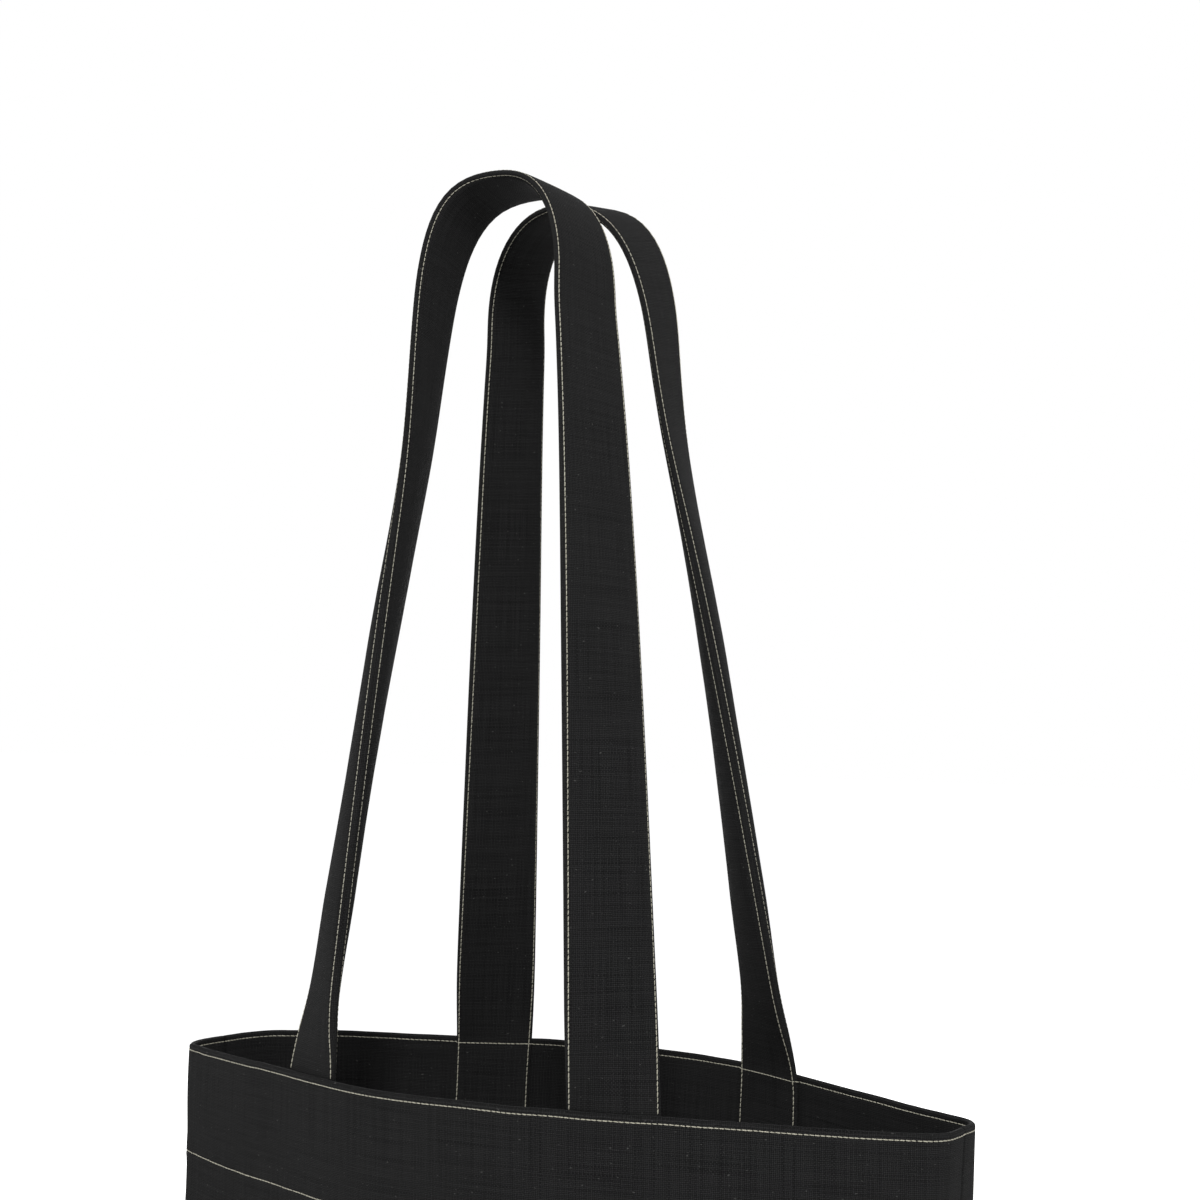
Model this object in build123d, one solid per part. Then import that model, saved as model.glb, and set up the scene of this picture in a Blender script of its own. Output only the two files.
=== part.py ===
from build123d import *
import math
import os

# A canvas tote bag that stands open on a boxed bottom, with two padded handles that lean together.
# Millimetres. +Z is up, X runs along the panels, the front faces -Y, and the origin is under the base.

# Driving dimensions of the bag
PANEL_WIDTH = 400.0        # each panel between its side seams, laid flat
BAG_HEIGHT = 370.0         # from the base to the rim, standing
CANVAS = 1.0               # one layer of canvas
RIM_END_HALF = 17.0        # half the depth of the mouth at its two blunt ends
RIM_PEAK = 97.0            # where the two flanks of one panel would meet, from the middle of the mouth
BASE_END_HALF = 51.0       # half the depth of the boxed bottom at its ends
BASE_PEAK = 56.0           # the same meeting point at the base, so the walls bow out a little
RIM_PEAK_RUN = 79.0        # length of flank that the round at the peak takes up, at the rim
BASE_PEAK_RUN = 60.0       # and at the base
RIM_CORNER = 14.5          # radius of the four upright corners at the rim
BASE_CORNER = 10.0         # and at the base
CORNER_LOSS = 6.0          # what the rounds take off a quarter of the girth
BASE_EDGE = 6.0            # how far the fold from the walls into the bottom is drawn in
LAYER_GAP = 0.1            # between layers of cloth that lie on each other

# Driving dimensions of the hem and the seams
HEM_FOLD = 46.0            # depth of the turned-in hem
HEM_STITCH = 44.5          # its row of stitches, below the rim
RIM_STITCH = 2.0           # the topstitch, below the rim
ALLOWANCE = 10.0           # width of a seam allowance
ALLOWANCE_LAYERS = 1.8     # two pressed layers
THREAD = 0.6               # width of a row of thread
PROUD = 0.3                # how far a thread stands out of the cloth
OVERLOCK = 2.5             # width of the overlocked edge of an allowance

# Driving dimensions of the handles
STRAP_WIDTH = 34.0
STRAP_SPACING = 132.0      # between the middles of the two ends of one handle
STRAP_FLAT = 2.4           # thickness where it is sewn flat
STRAP_CROWN = 10.0         # thickness at the middle of the padded length
STRAP_EDGE = 2.0           # thickness at its stitched edges
PADDED_FROM = 70.0         # height above the rim at which the padding is full
STITCH_INSET = 1.7         # rows of stitches, in from the strap's edges
LEG_HEIGHT = 288.0         # height above the rim where the legs turn into the arch
ARCH_HALF = 34.0           # half the width of the arch
ARCH_RISE = 58.0
LEG_BOW = 0.88             # how evenly the legs draw together, 1 is straight
TOP_OFFSET = 21.0          # each arch from the bag's middle plane, so the two lie side by side
TOP_SWAY = -8.0            # both arches hang a little left of the middle
TWIST_POWER = 0.8          # how early a leg turns, 1 is evenly with height
END_LENGTH = 40.0          # sewn length of a handle's end below the rim
END_CROSS = 3.0            # the cross row of stitches, above the end
HINGE_GAP = 1.0            # room between a sewn end and the loop that folds over the rim
LEG_STATIONS = 8
ARCH_STATIONS = 6
WADDING_COVER = 1.2        # canvas over the wadding
WADDING_WIDTH = 24.0
WADDING_STATIONS = 2       # the wadding starts this many stations up a leg

INSIDE_CANVAS = CANVAS + LAYER_GAP
INSIDE_HEM = INSIDE_CANVAS + CANVAS + LAYER_GAP
INSIDE_STRAP = INSIDE_HEM + STRAP_FLAT
HANDLE_TOP = LEG_HEIGHT + ARCH_RISE
STRAP_X = STRAP_SPACING / 2
parts = {}


def between(low, high, height):
    """A value that runs in a straight line from the base to the rim."""
    return low + (high - low) * height / BAG_HEIGHT


def half_width(end_half, peak):
    """Half the width that leaves the girth of two panels."""
    flank = PANEL_WIDTH / 2 + CORNER_LOSS - end_half
    return math.sqrt(flank**2 - (peak - end_half) ** 2)


BASE_HALF_WIDTH = half_width(BASE_END_HALF, BASE_PEAK)
RIM_HALF_WIDTH = half_width(RIM_END_HALF, RIM_PEAK)


class Plan:
    """The bag's plan at one height, a hexagon with rounded corners, moved in by inset."""

    def __init__(self, height, inset):
        wide = between(BASE_HALF_WIDTH, RIM_HALF_WIDTH, height)
        end = between(BASE_END_HALF, RIM_END_HALF, height)
        peak = between(BASE_PEAK, RIM_PEAK, height)
        self.slope = math.atan2(peak - end, wide)
        peak_run = between(BASE_PEAK_RUN, RIM_PEAK_RUN, height)
        self.peak_radius = peak_run / math.tan(self.slope) - inset
        self.corner_radius = between(BASE_CORNER, RIM_CORNER, height) - inset
        self.peak = peak - inset / math.cos(self.slope)
        self.wide = wide - inset
        self.end = self.peak - math.tan(self.slope) * self.wide

    def half_outline(self, side):
        """From the left side seam along one panel to the right side seam."""
        corners = [
            (-self.wide, 0),
            (-self.wide, side * self.end),
            (0, side * self.peak),
            (self.wide, side * self.end),
            (self.wide, 0),
        ]
        radii = [self.corner_radius, self.peak_radius, self.corner_radius]
        return FilletPolyline(*corners, radius=radii)

    def depth(self, x):
        """How far the panel stands from the middle plane at x, on the round at the peak or the flank."""
        if abs(x) < self.peak_radius * math.sin(self.slope):
            centre = self.peak - self.peak_radius / math.cos(self.slope)
            return centre + math.sqrt(self.peak_radius**2 - x**2)
        return self.peak - math.tan(self.slope) * abs(x)

    def slant(self, x):
        """The angle in plan between the panel and the X axis at x."""
        return min(self.slope, math.asin(abs(x) / self.peak_radius))


def half_ring(side, height, inset, thickness):
    """One panel's layer of cloth cut across at one height."""
    outside = Plan(height, inset)
    inside = Plan(height, inset + thickness)
    ends = [Line((sign * outside.wide, 0), (sign * inside.wide, 0)) for sign in (-1, 1)]
    outline = [outside.half_outline(side), inside.half_outline(side)] + ends
    return Pos(0, 0, height) * make_face(outline)


def half_layer(side, low, high, inset, thickness):
    """A layer of cloth that follows one panel between two heights."""
    return loft([half_ring(side, z, inset, thickness) for z in (low, high)], ruled=True)


def patch(side, low, high, near, far, inset, thickness):
    """A piece of cloth or thread against a panel, between two heights and two places along it."""
    cuts = []
    for z in (low, high):
        outside = Plan(z, inset)
        inside = Plan(z, inset + thickness)
        middle = (near + far) / 2
        outer = [(x, side * outside.depth(x)) for x in (near, middle, far)]
        inner = [(x, side * inside.depth(x)) for x in (near, middle, far)]
        outline = Polyline(*outer, *reversed(inner), close=True)
        cuts.append(Pos(0, 0, z) * make_face(outline))
    return loft(cuts, ruled=True)


def slab(low, high, y_low, y_high, x_low, x_high):
    """A box between the given heights and sides."""
    corner = (Align.MIN, Align.MIN, Align.MIN)
    return Pos(x_low, y_low, low) * Box(x_high - x_low, y_high - y_low, high - low, align=corner)


RIM = Plan(BAG_HEIGHT, INSIDE_HEM + STRAP_FLAT / 2)
STRAP_DEPTH = RIM.depth(STRAP_X)
STRAP_SLANT = RIM.slant(STRAP_X)
END_HALF_X = STRAP_WIDTH / 2 * math.cos(STRAP_SLANT)


def panel(name, side):
    """One panel of canvas: its wall, the fold at the base and its half of the bottom, and its hem."""
    hem_low = BAG_HEIGHT - HEM_FOLD
    fold = half_ring(side, 0, BASE_EDGE, CANVAS)
    walls = [half_ring(side, z, 0, CANVAS) for z in (BASE_EDGE, hem_low, BAG_HEIGHT)]
    wall = loft([fold] + walls, ruled=True)
    plan = Plan(0, BASE_EDGE + CANVAS / 2)
    edge = plan.half_outline(side)
    bottom = extrude(make_face([edge, Line((plan.wide, 0), (-plan.wide, 0))]), CANVAS, dir=(0, 0, 1))
    parts[name + "_panel"] = wall + bottom
    parts[name + "_hem"] = half_layer(side, hem_low, BAG_HEIGHT, INSIDE_CANVAS, CANVAS)


def handle_ends(name, side):
    """The two flat ends of a handle, sewn to the inside of the hem, and their stitches."""
    low = BAG_HEIGHT - END_LENGTH
    cross = low + END_CROSS
    rows = []
    for label, x in (("left", -STRAP_X), ("right", STRAP_X)):
        near, far = x - END_HALF_X, x + END_HALF_X
        end = patch(side, low, BAG_HEIGHT, near, far, INSIDE_HEM, STRAP_FLAT)
        parts[f"{name}_handle_{label}_end"] = end
        for row in (near + STITCH_INSET, far - STITCH_INSET - THREAD):
            rows.append(patch(side, cross, BAG_HEIGHT, row, row + THREAD, INSIDE_STRAP, PROUD))
        across = (near + STITCH_INSET, far - STITCH_INSET)
        rows.append(patch(side, cross - THREAD, cross, *across, INSIDE_STRAP, PROUD))
    parts[name + "_handle_end_stitches"] = rows


def stitch_row(name, side, below_rim):
    """A row of lockstitch along one panel, outside and inside, where it breaks at the handle's ends."""
    low = BAG_HEIGHT - below_rim - THREAD / 2
    high = low + THREAD
    outside = half_layer(side, low, high, -PROUD, PROUD)
    inside = half_layer(side, low, high, INSIDE_HEM, PROUD)
    for x in (-STRAP_X, STRAP_X):
        depths = sorted((0, 2 * side * STRAP_DEPTH))
        inside = inside - slab(low - 1, high + 1, *depths, x - END_HALF_X, x + END_HALF_X)
    parts[name] = [outside, inside]


def handle_stations(side):
    """Points up one leg, over the arch and down the other, with the strap's width direction at each."""
    heights = [LEG_HEIGHT * i / LEG_STATIONS for i in range(LEG_STATIONS + 1)]
    heights[0] = HINGE_GAP
    spread = STRAP_X - ARCH_HALF
    leg = [(ARCH_HALF + spread * (1 - z / LEG_HEIGHT) ** LEG_BOW, z) for z in heights]
    for i in range(1, ARCH_STATIONS):
        angle = math.radians(90 * i / ARCH_STATIONS)
        leg.append((ARCH_HALF * math.cos(angle), LEG_HEIGHT + ARCH_RISE * math.sin(angle)))
    loop = [(-x, z, -1) for x, z in leg] + [(0, HANDLE_TOP, -1)] + [(x, z, 1) for x, z in reversed(leg)]
    stations = []
    for x, z, leg_side in loop:
        share = z / HANDLE_TOP
        depth = TOP_OFFSET + (STRAP_DEPTH - TOP_OFFSET) * (1 - share)
        place = Vector(x + TOP_SWAY * share, side * depth, BAG_HEIGHT + z)
        turn = math.radians(90) * share**TWIST_POWER
        flat = Vector(-leg_side * math.cos(STRAP_SLANT), side * math.sin(STRAP_SLANT), 0)
        width = flat * math.cos(turn) + Vector(0, side, 0) * math.sin(turn)
        filled = min(1.0, z / PADDED_FROM)
        crown = STRAP_FLAT + (STRAP_CROWN - STRAP_FLAT) * filled * filled * (3 - 2 * filled)
        stations.append((place, width, crown))
    return stations


def station_planes(stations):
    """A plane across the strap at each station, with its x along the strap's width."""
    places = [place for place, width, crown in stations]
    along = [after - before for before, after in zip(places, places[2:])]
    along = [Vector(0, 0, 1)] + along + [Vector(0, 0, -1)]
    planes = []
    for (place, width, crown), direction in zip(stations, along):
        square = width - direction * (width.dot(direction) / direction.dot(direction))
        planes.append(Plane(place, x_dir=square, z_dir=direction))
    return planes


def lens(width, crown, edge):
    """A padded strap cut across: two crowned faces and two blunt edges."""
    w, c, e = width / 2, crown / 2, edge / 2
    outline = [
        Line((-w, -e), (-w, e)),
        ThreePointArc((-w, e), (0, c), (w, e)),
        Line((w, e), (w, -e)),
        ThreePointArc((w, -e), (0, -c), (-w, -e)),
    ]
    return make_face(outline)


def face_height(crown, across):
    """How far the strap's face stands from its middle, at a distance across from the centre line."""
    rise = (crown - STRAP_EDGE) / 2
    reach = STRAP_WIDTH / 2
    radius = (reach**2 + rise**2) / (2 * rise)
    return crown / 2 - radius + math.sqrt(radius**2 - across**2)


def handle(name, side):
    """One handle: a tube of canvas round a strip of wadding, edge-stitched on both faces."""
    stations = handle_stations(side)
    planes = station_planes(stations)
    crowns = [crown for place, width, crown in stations]
    whole = loft([plane * lens(STRAP_WIDTH, crown, STRAP_EDGE) for plane, crown in zip(planes, crowns)])
    inner = slice(WADDING_STATIONS, len(stations) - WADDING_STATIONS)
    filling = [
        plane * lens(WADDING_WIDTH, crown - 2 * WADDING_COVER, STRAP_EDGE)
        for plane, crown in zip(planes[inner], crowns[inner])
    ]
    wadding = loft(filling)
    parts[name] = whole - wadding
    parts[name + "_wadding"] = wadding
    rows = []
    across = STRAP_WIDTH / 2 - STITCH_INSET
    for edge in (-across, across):
        for face in (-1, 1):
            threads = []
            for plane, crown in zip(planes, crowns):
                rise = face_height(crown, across) + PROUD / 2
                threads.append(plane * Pos(edge, face * rise) * Rectangle(THREAD, PROUD))
            rows.append(loft(threads))
    parts[name + "_stitches"] = rows


def seam_strip(sign, y_low, y_high):
    """A strip of a side seam's allowance, flat on the inside of the bag's blunt end."""
    cuts = []
    for z in (2 * ALLOWANCE, BAG_HEIGHT - HEM_FOLD - LAYER_GAP):
        wall = Plan(z, INSIDE_CANVAS).wide
        middle = sign * (wall - ALLOWANCE_LAYERS / 2)
        strip = Rectangle(ALLOWANCE_LAYERS, y_high - y_low)
        cuts.append(Pos(middle, (y_low + y_high) / 2, z) * strip)
    return loft(cuts, ruled=True)


def seams():
    """The seam allowances inside the bag, folded to the back, with their overlocked edges."""
    edge = ALLOWANCE - OVERLOCK
    low = CANVAS + LAYER_GAP
    high = low + ALLOWANCE_LAYERS
    reach = BASE_HALF_WIDTH - BASE_EDGE - 2 * ALLOWANCE
    parts["bottom_seam_allowance"] = slab(low, high, 0, edge, -reach, reach)
    parts["bottom_overlock"] = slab(low, high, edge, ALLOWANCE, -reach, reach)
    across = BASE_END_HALF - BASE_CORNER - BASE_EDGE
    for label, sign in (("left", -1), ("right", 1)):
        parts[label + "_side_seam_allowance"] = seam_strip(sign, 0, edge)
        parts[label + "_side_overlock"] = seam_strip(sign, edge, ALLOWANCE)
        ends = sorted((sign * (reach + LAYER_GAP), sign * (reach + ALLOWANCE)))
        parts[label + "_corner_seam_allowance"] = slab(low, high, -across, across, *ends)


for name, side in (("front", -1), ("back", 1)):
    panel(name, side)
    handle_ends(name, side)
    stitch_row(name + "_rim_topstitch", side, RIM_STITCH)
    stitch_row(name + "_hem_stitch", side, HEM_STITCH)
    handle(name + "_handle", side)
seams()

os.makedirs("parts", exist_ok=True)
for name, shape in parts.items():
    shapes = shape if isinstance(shape, list) else [shape]
    pieces = [solid for piece in shapes for solid in piece.solids()]
    whole = pieces[0] if len(pieces) == 1 else Compound(children=pieces)
    export_step(whole, f"parts/{name}.step")
    size = whole.bounding_box().size
    volume = whole.volume / 1000
    print(f"{name}: {len(pieces)} solids, {volume:.2f} cm3, {size.X:.0f} x {size.Y:.0f} x {size.Z:.0f} mm")
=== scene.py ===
# %% [markdown]
# # A black canvas tote bag
# The packed model holds every piece of this bag as a plain solid in its real place. This lesson dresses
# those solids: folded canvas, padded handles and rows of single stitches, all in metres and in one frame.

# %% Load the frame
import math

import bmesh
import bpy
import numpy as np
from mathutils import Matrix, Vector


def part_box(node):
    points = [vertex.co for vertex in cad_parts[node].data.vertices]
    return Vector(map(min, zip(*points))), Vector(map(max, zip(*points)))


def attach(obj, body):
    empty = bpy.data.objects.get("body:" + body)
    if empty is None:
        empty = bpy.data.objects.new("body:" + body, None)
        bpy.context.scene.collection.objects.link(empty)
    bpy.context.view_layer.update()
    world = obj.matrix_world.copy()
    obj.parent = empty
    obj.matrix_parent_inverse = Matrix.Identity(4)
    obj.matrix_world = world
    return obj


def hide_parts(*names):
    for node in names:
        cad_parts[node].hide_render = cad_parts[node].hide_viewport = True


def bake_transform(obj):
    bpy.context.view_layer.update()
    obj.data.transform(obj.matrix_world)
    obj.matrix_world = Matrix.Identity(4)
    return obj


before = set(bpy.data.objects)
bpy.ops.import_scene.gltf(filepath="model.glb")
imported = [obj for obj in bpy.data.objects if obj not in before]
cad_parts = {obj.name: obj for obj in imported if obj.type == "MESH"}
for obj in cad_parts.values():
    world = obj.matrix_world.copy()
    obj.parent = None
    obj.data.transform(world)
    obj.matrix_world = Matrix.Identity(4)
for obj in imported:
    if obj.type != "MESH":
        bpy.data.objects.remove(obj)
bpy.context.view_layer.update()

MM = 0.001

# %% [markdown]
# ## The camera
# The bag is seen from a little above its rim, turned about thirty degrees, with the handles filling the
# frame and the lower half of the bag cut off. The camera stands where the two handles and the rim fall on
# their places in a square picture. A camera is a matrix of three axes and a place, so it is built from
# a turn, an upward tilt and a small roll, which is easier to read than Euler angles.

# %% Place the camera
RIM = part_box("front_panel")[1].z
CAMERA_PLACE = Vector((0.42775, -0.69666, RIM + 0.12870))
CAMERA_TURN = math.radians(30.407)
CAMERA_TILT = math.radians(3.932)
CAMERA_ROLL = math.radians(1.434)
CAMERA_LENS, SENSOR_WIDTH = 62.08, 36.0
NEAREST_SEEN = 10.0 * MM


def aim_camera():
    """A camera whose axes come from the turn, the tilt and the roll."""
    level = Vector((math.cos(CAMERA_TURN), math.sin(CAMERA_TURN), 0))
    ahead = Vector((-level.y * math.cos(CAMERA_TILT), level.x * math.cos(CAMERA_TILT), math.sin(CAMERA_TILT)))
    upright = level.cross(ahead)
    across = level * math.cos(CAMERA_ROLL) + upright * math.sin(CAMERA_ROLL)
    above = upright * math.cos(CAMERA_ROLL) - level * math.sin(CAMERA_ROLL)
    data = bpy.data.cameras.new("camera")
    data.lens = CAMERA_LENS
    data.sensor_width = SENSOR_WIDTH
    data.clip_start = NEAREST_SEEN
    camera = bpy.data.objects.new("camera", data)
    axes = Matrix((across, above, -ahead)).transposed()
    camera.matrix_world = Matrix.Translation(CAMERA_PLACE) @ axes.to_4x4()
    bpy.context.collection.objects.link(camera)
    bpy.context.scene.camera = camera
    return camera


aim_camera()
print("camera stands", round(CAMERA_PLACE.length, 3), "m from the bag's base")

# %% [markdown]
# ## Wiring up nodes
# A finish in Blender is a tree of nodes joined by links, and each node takes a few lines to place and join.
# A small class gives short names to what comes up again and again: place a node, feed a socket with a value
# or with another node's output, and the sums, mixes and noises that this bag's finishes are made of.

# %% Short names for nodes
# A Mix node has sockets of their own for values and for colours: the numbers of its inputs and its output.
MIX_SOCKETS = {"FLOAT": ((0, 2, 3), 0), "RGBA": ((0, 6, 7), 2)}


class Wiring:
    """Short names for placing nodes in one tree and joining them up."""

    def __init__(self, tree):
        self.tree = tree

    def node(self, kind, **settings):
        """A new node of one kind, with its settings."""
        made = self.tree.nodes.new(kind)
        for name, value in settings.items():
            setattr(made, name, value)
        return made

    def feed(self, socket, value):
        """Give a socket a value of its own or a link from another node's output."""
        if isinstance(value, bpy.types.NodeSocket):
            self.tree.links.new(value, socket)
        else:
            socket.default_value = value

    def math(self, operation, first, second=0.0):
        """What an operation makes of one or two values."""
        made = self.node("ShaderNodeMath", operation=operation)
        self.feed(made.inputs[0], first)
        self.feed(made.inputs[1], second)
        return made.outputs[0]

    def mix(self, kind, share, first, second):
        """A value or a colour that lies a share of the way from the first to the second."""
        made = self.node("ShaderNodeMix", data_type=kind)
        inputs, output = MIX_SOCKETS[kind]
        for socket, value in zip(inputs, (share, first, second)):
            self.feed(made.inputs[socket], value)
        return made.outputs[output]

    def noise(self, place, scale, detail):
        """A soft random value at a place."""
        made = self.node("ShaderNodeTexNoise")
        for label, value in (("Vector", place), ("Scale", scale), ("Detail", detail)):
            self.feed(made.inputs[label], value)
        return made.outputs["Fac"]

    def stretched(self, place, scale):
        """A place scaled by a factor for each axis."""
        made = self.node("ShaderNodeVectorMath", operation="MULTIPLY")
        self.feed(made.inputs[0], place)
        self.feed(made.inputs[1], scale)
        return made.outputs[0]


def new_material(name):
    """An empty node material, the wiring of its tree and its output node."""
    material = bpy.data.materials.new(name)
    material.use_nodes = True
    material.node_tree.nodes.clear()
    wires = Wiring(material.node_tree)
    return material, wires, wires.node("ShaderNodeOutputMaterial")


print("wiring can:", [name for name in vars(Wiring) if not name.startswith("_")])

# %% [markdown]
# ## The floor
# A product picture of a black bag has a white ground that isn't lit to white: it is white by colour. Lamps
# that make a grey floor white would bleach the bag as well. So the floor is a matte surface that also glows,
# but only for the camera and for reflections. It glows least near the bag, which keeps the bag's shadow.

# %% Lay the floor
GROUND_COLOUR = (0.86, 0.86, 0.86, 1.0)
FLOOR_REACH = 30.0
NEAR_GLOW, FAR_GLOW = 0.40, 0.72
SHADOW_REACH = (0.5, 1.4)


def seen_directly(wires):
    """1 for rays from the camera and for mirror and glass rays, 0 for light that falls on things."""
    path = wires.node("ShaderNodeLightPath")
    total = path.outputs["Is Camera Ray"]
    for name in ("Is Glossy Ray", "Is Transmission Ray"):
        total = wires.math("MAXIMUM", total, path.outputs[name])
    return total


def pale_floor():
    """A matte floor that shows white where nothing shades it."""
    material, wires, output = new_material("pale_floor")
    matte = wires.node("ShaderNodeBsdfDiffuse")
    matte.inputs["Color"].default_value = GROUND_COLOUR
    away = wires.node("ShaderNodeVectorMath", operation="LENGTH")
    wires.feed(away.inputs[0], wires.node("ShaderNodeNewGeometry").outputs["Position"])
    fade = wires.node("ShaderNodeMapRange")
    for socket, value in enumerate((away.outputs["Value"], *SHADOW_REACH, NEAR_GLOW, FAR_GLOW)):
        wires.feed(fade.inputs[socket], value)
    glow = wires.node("ShaderNodeEmission")
    wires.feed(glow.inputs["Strength"], wires.math("MULTIPLY", seen_directly(wires), fade.outputs[0]))
    both = wires.node("ShaderNodeAddShader")
    for socket, shade in enumerate((matte, glow)):
        wires.feed(both.inputs[socket], shade.outputs[0])
    wires.feed(output.inputs["Surface"], both.outputs[0])
    corners = [(FLOOR_REACH * x, FLOOR_REACH * y, 0) for x, y in ((-1, -1), (1, -1), (1, 1), (-1, 1))]
    mesh = bpy.data.meshes.new("floor")
    mesh.from_pydata(corners, [], [(0, 1, 2, 3)])
    mesh.materials.append(material)
    floor = bpy.data.objects.new("floor", mesh)
    bpy.context.collection.objects.link(floor)


pale_floor()
print("floor glows", NEAR_GLOW, "near the bag and", FAR_GLOW, "away from it")

# %% [markdown]
# ## The world and the lamps
# The world is white to the camera and to reflections too, and gives a softer light to everything else, so
# the canvas gets plain studio light. A key lamp at the front right draws the shapes. A weak one fills in
# from the left, and one behind the bag brings out the back.

# %% Set the world and the lamps
WHITE = (1.0, 1.0, 1.0, 1.0)
AMBIENT = 0.35
LAMP_AIM = Vector((0, 0, 1.2 * RIM))
# Each lamp: its name, its place and its size in metres, and its power in watts.
LAMPS = (
    ("key_lamp", (0.98, -1.70, 1.82), 0.5, 44.0),
    ("side_lamp", (-1.9, -0.6, 1.4), 1.4, 3.0),
    ("back_lamp", (-1.2, 2.0, 1.1), 1.4, 26.0),
)


def white_world():
    """White to the eye, a softer white as light."""
    world = bpy.data.worlds.new("studio")
    world.use_nodes = True
    world.node_tree.nodes.clear()
    wires = Wiring(world.node_tree)
    mix = wires.node("ShaderNodeMixShader")
    wires.feed(mix.inputs[0], seen_directly(wires))
    for socket, strength in ((1, AMBIENT), (2, 1.0)):
        light = wires.node("ShaderNodeBackground")
        light.inputs["Color"].default_value = WHITE
        light.inputs["Strength"].default_value = strength
        wires.feed(mix.inputs[socket], light.outputs[0])
    wires.feed(wires.node("ShaderNodeOutputWorld").inputs["Surface"], mix.outputs[0])
    bpy.context.scene.world = world


def soft_lamp(name, place, size, power):
    """A square lamp that points at the middle of the handles."""
    data = bpy.data.lights.new(name, "AREA")
    data.size = size
    data.energy = power
    lamp = bpy.data.objects.new(name, data)
    lamp.location = place
    lamp.rotation_euler = (LAMP_AIM - lamp.location).to_track_quat("-Z", "Y").to_euler()
    bpy.context.collection.objects.link(lamp)


white_world()
for lamp in LAMPS:
    soft_lamp(*lamp)
bpy.context.scene.view_settings.view_transform = "Standard"
print("stage with", len(bpy.data.lights), "lamps")

# %% [markdown]
# ## The weave
# Canvas is a plain weave: every warp thread goes over one weft thread and under the next. Close up, each
# crossing is a small pillow that runs one way or the other, like a chequerboard. An image would blur at
# this scale, so the weave is worked out from the cloth's own length and width, which every piece carries
# in a map called cloth_metres. It is a group, because the bag and its handles share it at other sizes.

# %% The weave group
CLOTH_MAP = "cloth_metres"
WAVER_SCALE, WAVER_SIZE = 260.0, 0.9
PILLOW_SWELL, PILLOW_ENDS = 0.45, 0.55
YARN_ACROSS, YARN_ALONG = 1700.0, 25.0


def new_group(name, inputs, outputs):
    """A shader group with named sockets, and its two ends."""
    group = bpy.data.node_groups.new(name, "ShaderNodeTree")
    for label, kind in inputs:
        group.interface.new_socket(name=label, in_out="INPUT", socket_type=kind)
    for label in outputs:
        group.interface.new_socket(name=label, in_out="OUTPUT", socket_type="NodeSocketFloat")
    wires = Wiring(group)
    return group, wires, wires.node("NodeGroupInput"), wires.node("NodeGroupOutput")


def weave_group():
    """Height of a plain weave, and a value that differs from thread to thread."""
    inputs = [("Place", "NodeSocketVector"), ("Pitch", "NodeSocketFloat")]
    group, wires, start, end = new_group("plain_weave", inputs, ("Height", "Thread"))
    place = start.outputs["Place"]
    split = wires.node("ShaderNodeSeparateXYZ")
    wires.feed(split.inputs[0], place)
    waver = wires.math("MULTIPLY", wires.noise(place, WAVER_SCALE, 1.0), WAVER_SIZE)
    threads = []
    for axis in ("X", "Y"):
        count = wires.math("DIVIDE", split.outputs[axis], start.outputs["Pitch"])
        threads.append(wires.math("ADD", count, waver))
    crowns = []
    for count in threads:
        middle = wires.math("SUBTRACT", wires.math("FRACT", count), 0.5)
        square = wires.math("MULTIPLY", wires.math("MULTIPLY", middle, middle), 4.0)
        crowns.append(wires.math("SUBTRACT", 1.0, square))
    steps = [wires.math("FLOOR", count) for count in threads]
    over = wires.math("FLOORED_MODULO", wires.math("ADD", steps[0], steps[1]), 2.0)
    pillows = []
    for across, along in (crowns, reversed(crowns)):
        length = wires.math("ADD", wires.math("MULTIPLY", along, PILLOW_SWELL), PILLOW_ENDS)
        pillows.append(wires.math("MULTIPLY", across, length))
    wires.feed(end.inputs["Height"], wires.mix("FLOAT", over, *pillows))
    warp = wires.noise(wires.stretched(place, (YARN_ACROSS, YARN_ALONG, 1.0)), 1.0, 0.0)
    weft = wires.noise(wires.stretched(place, (YARN_ALONG, YARN_ACROSS, 1.0)), 1.0, 0.0)
    wires.feed(end.inputs["Thread"], wires.mix("FLOAT", over, warp, weft))
    return group


WEAVE = weave_group()
print("weave group has", len(WEAVE.nodes), "nodes")

# %% [markdown]
# ## Fading and lint
# Black cotton is never one black. It fades a little in large patches, and it picks up pale specks of lint.
# A second group gives both as masks, so that each canvas can use as much of them as it needs.

# %% The fade and lint group
PATCH_SCALE = 14.0
LINT_STRETCH = (500.0, 900.0, 1.0)
LINT_FROM, LINT_GAIN = 0.72, 14.0


def fade_group():
    """Large soft patches, and rare small specks."""
    group, wires, start, end = new_group("fade_and_lint", [("Place", "NodeSocketVector")], ("Fade", "Lint"))
    place = start.outputs["Place"]
    wires.feed(end.inputs["Fade"], wires.noise(place, PATCH_SCALE, 3.0))
    hairs = wires.noise(wires.stretched(place, LINT_STRETCH), 1.0, 1.0)
    rare = wires.math("MULTIPLY", wires.math("SUBTRACT", hairs, LINT_FROM), LINT_GAIN)
    low = wires.math("MAXIMUM", rare, 0.0)
    wires.feed(end.inputs["Lint"], wires.math("MINIMUM", low, 1.0))
    return group


FADE = fade_group()
print("fade group has", len(FADE.nodes), "nodes")
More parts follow.
